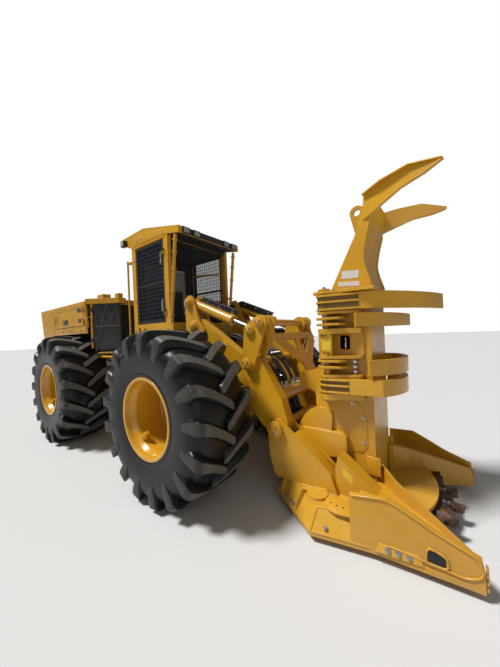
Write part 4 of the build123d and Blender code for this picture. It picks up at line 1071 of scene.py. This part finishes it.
# radius, then its places
FRAME_HOSES = [(0.018, [(-0.30, y, 1.30), (-0.12, y, 1.62 + sway), (0.10, 0.9 * y, 1.70 + sway),
                        (0.34, 0.8 * y, 1.60), (0.50, 0.8 * y, 1.46)]) for y, sway in FRAME_RUNS]
ARM_HOSES = [
    (0.019, [(0.54, -0.19, 1.46), (0.64, -0.20, 1.42), (0.78, -0.18, 1.27), (0.87, -0.17, 1.16),
             (0.88, -0.17, 1.072)]),
    (0.017, [(0.54, -0.13, 1.48), (0.68, -0.12, 1.45), (0.80, -0.12, 1.30), (0.90, -0.12, 1.17),
             (0.91, -0.12, 1.072)]),
    (0.019, [(0.56, -0.05, 1.47), (0.70, -0.07, 1.40), (0.80, -0.04, 1.28), (0.88, -0.06, 1.17),
             (0.88, -0.06, 1.072)]),
    (0.014, [(0.55, 0.02, 1.50), (0.69, 0.00, 1.46), (0.82, 0.02, 1.30), (0.90, 0.01, 1.18),
             (0.91, 0.01, 1.072)]),
    (0.018, [(0.56, 0.10, 1.46), (0.70, 0.11, 1.43), (0.80, 0.10, 1.28), (0.87, 0.09, 1.16),
             (0.88, 0.10, 1.072)]),
    (0.016, [(0.56, 0.18, 1.48), (0.68, 0.17, 1.44), (0.80, 0.19, 1.29), (0.90, 0.18, 1.17),
             (0.91, 0.18, 1.072)]),
]
HOSE_BEND, CRIMP_LONG, CRIMP_WALL = 0.14, 0.055, 0.006
TRUNK_TOP, TRUNK_END, TRUNK_R = Vector((0.950, -0.02, 0.925)), Vector((0.984, -0.02, 0.802)), 0.050
WRAP_RUN, WRAP_R, WRAPS = Vector((0.0012, 0, -0.009)), 0.056, 14
for label, hoses, body in (("frame", FRAME_HOSES, "front"), ("arm", ARM_HOSES, "lift_arms")):
    shape = bmesh.new()
    ends = bmesh.new()
    for radius, places in hoses:
        tube(shape, places, radius, 12, HOSE_BEND)
        for end, inner in ((places[0], places[1]), (places[-1], places[-2])):
            away = Vector(inner) - Vector(end)
            rod(ends, end, Vector(end) + away * (CRIMP_LONG / away.length), radius + CRIMP_WALL, 12)
    if label == "arm":
        rod(shape, TRUNK_TOP, TRUNK_END, TRUNK_R, 24)
        for k in range(WRAPS):
            low = TRUNK_TOP.lerp(TRUNK_END, k / (WRAPS - 1))
            rod(shape, low, low + WRAP_RUN, WRAP_R, 24)
    piece(shape, f"{label}_hoses", "hose_rubber", body, 0)
    piece(ends, f"{label}_hose_ends", "zinc_steel", body, 0.002)
shape = bmesh.new()
for y0, y1 in ((-0.215, -0.090), (0.075, 0.215)):
    box(shape, 0.860, 0.950, y0, y1, 1.066, 1.084)
piece(shape, "hose_saddles", "blank_white", "lift_arms", 0.004)


# Valve block on the cross shaft between the arms: a cast block with a row of plated fittings on its top
# and front. Cast and machined steel, bolted on.
FITTINGS, FITTING_PITCH = 5, 0.044
shape = bmesh.new()
box(shape, 0.600, 0.690, -0.120, 0.120, 1.4255, 1.492)
box(shape, 0.585, 0.605, -0.150, 0.150, 1.418, 1.434)
piece(shape, "valve_block", "cast", "lift_arms", 0.004)
shape = bmesh.new()
for y in (FITTING_PITCH * (k - (FITTINGS - 1) / 2) for k in range(FITTINGS)):
    rod(shape, (0.625, y, 1.490), (0.625, y, 1.512), 0.015, 6)
    rod(shape, (0.625, y, 1.510), (0.618, y, 1.536), 0.010, 12)
    rod(shape, (0.688, y, 1.462), (0.712, y, 1.458), 0.014, 6)
piece(shape, "valve_fittings", "zinc_steel", "lift_arms", 0.001)


# Saw disc: a worn steel plate with a rusty rim, and dark hooked teeth bolted in holders round it.
# Forged teeth, each held by two bolts from above.
DISC_CENTRE, TEETH, TOOTH_LOW, TOOTH_HIGH = Vector((1.830, 0.0)), 18, 0.092, 0.146
# a tooth in plan: distance from the disc's centre, lean along its rim
TOOTH = [(0.655, -0.030), (0.700, -0.042), (0.722, -0.030), (0.733, 0.006), (0.727, 0.030), (0.706, 0.020),
         (0.690, 0.002), (0.655, 0.010)]
TOOTH_BOLTS, TOOTH_BOLT_Z = (0.590, 0.628), 0.137
saw_face, shader, coords = new_material("saw_face")
rust = span(noise(coords, 7.0, 8.0, 0.7), 0.42, 0.62)
link(blended(rust, (0.030, 0.026, 0.024), (0.150, 0.072, 0.032)), shader.inputs["Base Color"])
link(span(rust, 0.0, 1.0, 0.42, 0.85), shader.inputs["Roughness"])
link(span(rust, 0.0, 1.0, 0.75, 0.10), shader.inputs["Metallic"])
bumped(shader, noise(coords, 75.0, 6.0, 0.7), 0.4, 0.001)
finish["saw_face"] = saw_face
coat_node(saw_face, "disc_saw")
spots = []
shape = bmesh.new()
for k in range(TEETH):
    turn = 2 * math.pi * k / TEETH
    along, out = Vector((-math.sin(turn), math.cos(turn))), Vector((math.cos(turn), math.sin(turn)))
    flat(shape, [DISC_CENTRE + out * reach + along * lean for reach, lean in TOOTH], TOOTH_LOW, TOOTH_HIGH)
    spots += [(spot(*(DISC_CENTRE + out * reach), TOOTH_BOLT_Z), (0, 0, 1)) for reach in TOOTH_BOLTS]
piece(shape, "tooth_hooks", "saw_face", "disc", 0.004)
bolts("tooth_bolts", spots, 0.013, "disc")


# Deck of the head: bolted and welded trim on heavy plate. Bevel ribs along the edge, a round bolted
# cover, a raised step plate with four small holes shown as dark discs of painted shade, and rows of edge
# bolts. Gold paint over weld beads.
COVER_X, COVER_Y, COVER_TOP, COVER_R = 1.50, 0.47, 0.238, 0.118
COVER_BOLTS, COVER_BOLT_R, COVER_BOLT_START = 4, 0.088, 0.4
STEP_PLATE = [(1.585, 0.600), (1.590, 0.670), (1.615, 0.745), (1.660, 0.790), (1.720, 0.806),
              (1.835, 0.786), (1.846, 0.770), (1.846, 0.600)]
STEP_HOLES = [(1.650, 0.700), (1.705, 0.712), (1.760, 0.712), (1.815, 0.700)]
BEVEL_START, BEVEL_END = Vector((1.010, 0.550)), Vector((1.545, 0.905))
BEVEL_RUN = (BEVEL_END - BEVEL_START).normalized()
BEVEL_IN = Vector((BEVEL_RUN.y, -BEVEL_RUN.x))
RIB_SHARES, RIB_START, RIB_END = (0.14, 0.60), -0.006, 0.008
# a bevel rib in section: depth behind the bevel's edge, height
RIB = [(0.004, 0.066), (0.004, 0.135), (0.072, 0.262), (0.170, 0.209), (0.100, 0.100)]
EDGE_SHARES, EDGE_IN, EDGE_Z = (-0.04, 0.04, 0.28, 0.42, 0.50), 0.024, 0.090
SIDE_BOLTS = [(1.66, 0.862, 0.105), (1.90, 0.806, 0.105)]
# sideways and upward parts of the bevel's facing
BEVEL_OUT, BEVEL_UP = 0.83, 0.56
# weld beads: along the deck's edge, down its two corners, and at the foot of side plate, mast and horn
DECK_BEADS = [
    [(1.006, 0.210, 0.211), (1.095, 0.485, 0.211), (1.565, 0.797, 0.211), (1.846, 0.733, 0.211)],
    [(1.545, 0.903, 0.064), (1.565, 0.798, 0.210)],
    [(1.010, 0.548, 0.064), (1.095, 0.486, 0.210)],
    [(1.000, 0.562, 0.212), (1.655, 0.562, 0.212)],
    [(1.372, 0.292, 0.212), (1.935, 0.292, 0.212)],
    [(0.906, 0.224, 0.058), (1.010, 0.549, 0.058), (1.545, 0.903, 0.058), (1.990, 0.803, 0.058)],
]
# a bent strip over the side plates: x, z
SIDE_STRIP = [(1.225, 0.688), (1.330, 0.607), (1.598, 0.383), (1.652, 0.225), (1.640, 0.221), (1.588, 0.376),
              (1.322, 0.597), (1.217, 0.678)]
shape = bmesh.new()
holes = bmesh.new()
spots = []
for side in (-1, 1):
    rod(shape, (COVER_X, side * COVER_Y, 0.206), (COVER_X, side * COVER_Y, COVER_TOP), COVER_R, 56)
    for k in range(COVER_BOLTS):
        turn = 2 * math.pi * k / COVER_BOLTS + COVER_BOLT_START
        spots.append((spot(COVER_X + COVER_BOLT_R * math.cos(turn),
                           side * (COVER_Y + COVER_BOLT_R * math.sin(turn)), COVER_TOP), (0, 0, 1)))
    flat(shape, mirrored_y(STEP_PLATE, side), 0.2095, 0.2260)
    for x, y in STEP_HOLES:
        # Each hole is a dark disc on the plate: painted shade for the hole.
        rod(holes, (x, side * y, 0.2245), (x, side * y, 0.2270), 0.008, 16)
    for share in RIB_SHARES:
        foot = BEVEL_START.lerp(BEVEL_END, share)
        lofted(shape, [mirrored_y([(*(foot + BEVEL_RUN * along + BEVEL_IN * depth), z) for depth, z in RIB],
                                  side) for along in (RIB_START, RIB_END)])
    for share in EDGE_SHARES:
        foot = BEVEL_START.lerp(BEVEL_END, share) + BEVEL_IN * EDGE_IN
        spots.append((spot(foot.x, side * foot.y, EDGE_Z),
                      (BEVEL_IN.x * -BEVEL_OUT, side * BEVEL_IN.y * -BEVEL_OUT, BEVEL_UP)))
    spots += [(spot(*place), (0.1, side * BEVEL_OUT, BEVEL_UP)) for place in mirrored_y(SIDE_BOLTS, side)]
    for bead in DECK_BEADS:
        tube(shape, mirrored_y(bead, side), 0.0070, 8, 0.02)
    prism(shape, SIDE_STRIP, side * 0.389, side * 0.531)
piece(shape, "deck_covers", "gold", "head", 0.004)
piece(holes, "deck_hole_shade", "lining_and_painted_shade", "head", 0)
bolts("deck_bolts", spots, 0.0125, "head")


# Horn faces: each horn's outer face has a weld bead round it, a slot window with a raised rim, a wear
# strip with three bright bolts and a serrated tip. Beads are run on, rims and strips are welded. The
# window's opening is a dark slab of painted shade.
HORN_PLAN = [(1.850, 0.828), (2.020, 0.800), (2.360, 0.755), (2.650, 0.740)]
# x, z round the face and round the window
HORN_EDGE = [(1.862, 0.430), (2.106, 0.458), (2.280, 0.378), (2.415, 0.310), (2.622, 0.238), (2.646, 0.130),
             (2.560, 0.082), (2.330, 0.098), (2.120, 0.120)]
HORN_RIM = [(2.40, 0.192), (2.352, 0.200), (2.338, 0.150), (2.338, 0.092), (2.40, 0.092), (2.460, 0.092),
            (2.460, 0.170), (2.40, 0.192)]
SLOT_X, SLOT_Z = (2.350, 2.450), (0.102, 0.180)
# x, z, how far the wear strip stands out
WEAR_STRIP = [(2.050, 0.120, 0.002), (2.300, 0.120, 0.002), (2.330, 0.060, 0.018), (2.020, 0.060, 0.022)]
WEAR_SUNK, WEAR_BOLTS, WEAR_BOLT_Z, WEAR_BOLT_OUT = -0.012, (2.110, 2.175, 2.240), 0.092, 0.011
TEETH_Z = [0.035 + 0.042 * k for k in range(4)]


def on_horn(x, z, out=0.0):
    """A place on the horn's outer face (left-hand side), standing off it by out."""
    for (x0, y0), (x1, y1) in zip(HORN_PLAN, HORN_PLAN[1:]):
        if x <= x1 or x1 == HORN_PLAN[-1][0]:
            return (x, y0 + (y1 - y0) * (x - x0) / (x1 - x0) + out, z)


def wall(shape, start, end, z0, z1, out=0.004, sunk=0.002):
    """A thin upright slab over the face between two plan points, standing out to the right of the run."""
    start, end = Vector(start), Vector(end)
    run = (end - start).normalized()
    away = Vector((run.y, -run.x))
    flat(shape, [start - away * sunk, end - away * sunk, end + away * out, start + away * out], z0, z1)


shape = bmesh.new()
dark = bmesh.new()
spots = []
for side in (-1, 1):
    tube(shape, mirrored_y([on_horn(*place, 0.004) for place in HORN_EDGE], side), 0.0075, 10, 0.06)
    tube(shape, mirrored_y([on_horn(*place, 0.005) for place in HORN_RIM], side), 0.0085, 10, 0.03)
    slot = mirrored_y([on_horn(x, 0)[:2] for x in SLOT_X[::-side]], side)
    # The window's opening: a dark slab, painted shade.
    wall(dark, *slot, *SLOT_Z, 0.0035)
    lofted(shape, [mirrored_y([on_horn(*place) for place in WEAR_STRIP], side),
                   mirrored_y([on_horn(x, z, WEAR_SUNK) for x, z, out in WEAR_STRIP], side)])
    bolt_row = mirrored_y([on_horn(x, WEAR_BOLT_Z, WEAR_BOLT_OUT) for x in WEAR_BOLTS], side)
    spots += [(spot(*place), (0.12, side * 0.95, 0.28)) for place in bolt_row]
    for z in TEETH_Z:
        prism(shape, [(2.652, z), (2.668, z + 0.010), (2.666, z + 0.026), (2.652, z + 0.034)],
              side * 0.700, side * 0.734)
piece(shape, "horn_beads", "gold", "head", 0.0015, 50.0)
piece(dark, "horn_window_shade", "lining_and_painted_shade", "head", 0)
bolts("horn_bolts", spots, 0.0145, "head", finish["zinc_steel"])


# Box plates, motor guard and mast covers: upright ear plates, blank plates on the boxes, a rounded cowl
# and a chamfered guard over the saw motor, and bolted access covers low on the mast. Folded steel.
BOX_PLATE = [(1.700, 0.470), (1.790, 0.398), (1.788, 0.330), (1.700, 0.395)]
EAR_PLATE = [(1.855, 0.296), (1.975, 0.296), (1.975, 0.312), (1.855, 0.312)]
COWL = [(1.130, 0.440), (1.156, 0.651), (1.190, 0.735), (1.224, 0.794), (1.262, 0.846), (1.310, 0.890),
        (1.368, 0.922), (1.425, 0.935), (1.481, 0.932), (1.530, 0.905), (1.552, 0.860), (1.536, 0.700),
        (1.536, 0.440)]
MOTOR_GUARD = [(1.140, 0.640), (1.170, 0.700), (1.660, 0.712), (1.690, 0.690), (1.690, 0.540),
               (1.620, 0.470), (1.500, 0.452), (1.150, 0.470)]
ACCESS_COVER = [(1.373, 0.330), (1.720, 0.330), (1.728, 0.546), (1.815, 0.534), (1.868, 0.600),
                (1.872, 0.860), (1.850, 0.952), (1.787, 1.022), (1.700, 1.044), (1.373, 1.046)]
COVER_BOLT_PLACES = [(1.690, 0.480), (1.835, 0.640), (1.835, 0.880), (1.740, 1.005), (1.500, 1.020),
                     (1.420, 0.380)]
shape = bmesh.new()
plates = bmesh.new()
spots = []
for side in (-1, 1):
    prism(plates, BOX_PLATE, side * 0.5205, side * 0.5225)
    flat(shape, mirrored_y(EAR_PLATE, side), 0.36, 0.53)
    prism(shape, COWL, side * 0.302, side * 0.330)
    prism(shape, MOTOR_GUARD, side * 0.296, side * 0.356)
    prism(shape, ACCESS_COVER, side * 0.288, side * 0.296)
    spots += [(spot(x, side * 0.296, z), (0, side, 0)) for x, z in COVER_BOLT_PLACES]
piece(shape, "mast_covers", "gold", "head", 0.005)
piece(plates, "box_plates", "blank_yellow", "head", 0)
bolts("mast_bolts", spots, 0.012, "head")


# Mast sides: bare blank plates, a raised rim round each window, chrome locking pins between the lower
# hinge plates, pin caps, and a stiffener along the curved front cut. Welded plate and turned pins.
ARM_PIN = (1.545, 0.400)
MAST_PLATES = [[(1.691, 2.286), (1.850, 2.272), (1.842, 2.200), (1.682, 2.209)],
               [(1.650, 2.186), (1.850, 2.168), (1.850, 2.124), (1.648, 2.140)]]
STACK_PLATE = [(1.500, 1.705), (1.622, 1.700), (1.616, 1.500), (1.494, 1.508)]
STACK_LABEL = [(1.524, 1.688), (1.605, 1.683), (1.598, 1.520), (1.517, 1.527)]
WINDOW_RIM = [(1.69, 0.310, 1.668), (1.642, 0.310, 1.668), (1.642, 0.310, 1.517), (1.753, 0.310, 1.517),
              (1.753, 0.310, 1.668), (1.69, 0.310, 1.668)]
FRONT_CUT = [(1.950, 0.279, 2.130), (1.900, 0.279, 2.290), (1.885, 0.279, 2.390), (1.905, 0.279, 2.520),
             (1.950, 0.279, 2.700)]
PIN_CAPS, CAP_BOLT_Z, LOCKS = (2.105, 1.652, 1.042), 2.115, (1.318, 1.366, 1.414)
shape, plates, labels, pins = (bmesh.new() for part in range(4))
for side in (-1, 1):
    for outline in MAST_PLATES:
        prism(plates, outline, side * 0.2902, side * 0.2922)
    prism(shape, STACK_PLATE, side * 0.4350, side * 0.4395)
    prism(labels, STACK_LABEL, side * 0.4390, side * 0.4410)
    tube(shape, mirrored_y(WINDOW_RIM, side), 0.0075, 10, 0.03)
    tube(shape, mirrored_y(FRONT_CUT, side), 0.012, 12, 0.10)
    x, y = ARM_PIN[0], side * ARM_PIN[1]
    for z in PIN_CAPS:
        rod(shape, (x, y, z - 0.006), (x, y, z + 0.010), 0.056, 32)
    for z in LOCKS:
        rod(pins, (1.795, side * 0.300, z), (1.795, side * 0.345, z), 0.017, 20)
    rod(pins, (1.690, side * 0.262, 1.640), (1.690, side * 0.262, 1.520), 0.014, 16)
piece(shape, "mast_rims", "gold", "head", 0.002, 50.0)
piece(plates, "mast_plates", "blank_white", "head", 0)
piece(labels, "stack_plates", "blank_yellow", "head", 0)
piece(pins, "locking_pins", "rod_chrome", "head", 0.002)
bolts("hinge_cap_bolts", [(spot(ARM_PIN[0], side * ARM_PIN[1], CAP_BOLT_Z), (0, 0, 1)) for side in (-1, 1)],
      0.018, "head")


# Claw flanges: a narrow welded flange stands out along the top edge of each claw, and a bead runs along
# its lower edge. Bent flat bar, gold.
# share along the claw's plan line, height, width of the flange
CLAW_TOP = [(-0.036, 2.955, 0.060), (0.150, 2.985, 0.075), (0.380, 3.000, 0.060), (0.598, 2.936, 0.034)]
CLAW_FOOT = [(0.598, 2.914), (0.480, 2.880), (0.300, 2.857), (0.120, 2.792), (-0.050, 2.726)]
FLANGE_IN, FLANGE_TOP, FLANGE_UNDER, BEAD_OUT = 0.010, 0.001, 0.013, 0.028


def on_claw(side, along, out, z):
    """A place beside a claw's plan line, by distance along it and out from it."""
    return (1.960 + 0.93 * along - 0.37 * out, side * (0.280 + 0.37 * along + 0.93 * out), z)


shape = bmesh.new()
for side in (-1, 1):
    lofted(shape, [[on_claw(side, along, out, z - down) for out, down in
                    ((FLANGE_IN, FLANGE_TOP), (wide, FLANGE_TOP), (wide, FLANGE_UNDER),
                     (FLANGE_IN, FLANGE_UNDER))] for along, z, wide in CLAW_TOP])
    tube(shape, [on_claw(side, along, BEAD_OUT, z) for along, z in CLAW_FOOT], 0.008, 8, 0.02)
piece(shape, "claw_flanges", "gold", "head", 0.002)


# Gathering arms: each is a fabricated blade between hinge plates, so its root shows thin rounded plates.
# Cut plate, welded across the root, gold. The gaps between the plates are painted shade: a slab of shaded
# gold fills each one.
# name, side, underside, top, start and end of the root face in plan
ARM_ROOTS = [
    ("gather_arm_upper_right", -1, 1.901, 2.059, (1.560, 0.463), (1.860, 0.3790)),
    ("gather_arm_upper_left", 1, 1.736, 1.864, (1.560, 0.470), (1.760, 0.502)),
    ("gather_arm_lower_left", 1, 1.296, 1.434, (1.560, 0.464), (1.760, 0.437)),
    ("gather_arm_lower_right", -1, 1.116, 1.256, (1.560, 0.464), (1.760, 0.437)),
]
ROOT_SHARES, ROOT_PLATE, ROOT_OUT, ROOT_R = (0.02, 0.46, 0.84), 0.018, 0.014, 0.080
GAP_IN, GAP_OUT, GAP_R = 0.012, 0.0015, 0.0675
for name, side, low, high, start, end in ARM_ROOTS:
    shape = bmesh.new()
    gap_shade = bmesh.new()
    root = mirrored_y([start, end], side)[::-side]
    x, y = ARM_PIN[0], side * ARM_PIN[1]
    for z in (low + share * (high - low) for share in ROOT_SHARES):
        wall(shape, *root, z, z + ROOT_PLATE, ROOT_OUT)
        rod(shape, (x, y, z), (x, y, z + ROOT_PLATE), ROOT_R, 36)
    # Painted shade: a slab of shaded gold fills the gap between the plates.
    wall(gap_shade, *root, low + GAP_IN, high - GAP_IN, GAP_OUT)
    rod(gap_shade, (x, y, low + GAP_IN), (x, y, high - GAP_IN), GAP_R, 36)
    piece(shape, f"{name}_plates", "gold", name, 0.003)
    piece(gap_shade, f"{name}_gap", "painted_shade_gold", name, 0)


# Spare hinge plates: rounded lugs welded to the mast around each long pin, between the arms' own levels.
# Cut plate, gold.
LUG_LEVELS = {-1: (1.815, 1.758, 1.408, 1.350), 1: (1.975, 1.915, 1.212, 1.155)}
LUG_PLAN = [(1.545, 0.4835), (1.690, 0.455), (1.730, 0.400), (1.730, 0.330), (1.545, 0.330)]
LUG_R, LUG_PLATE, LUG_STEP = 0.084, 0.024, 0.0005
shape = bmesh.new()
for side in (-1, 1):
    x, y = ARM_PIN[0], side * ARM_PIN[1]
    for z in LUG_LEVELS[side]:
        rod(shape, (x, y, z), (x, y, z + LUG_PLATE), LUG_R, 36)
        flat(shape, mirrored_y(LUG_PLAN, side), z + LUG_STEP, z + LUG_PLATE - LUG_STEP)
piece(shape, "mast_lugs", "gold", "head", 0.003)
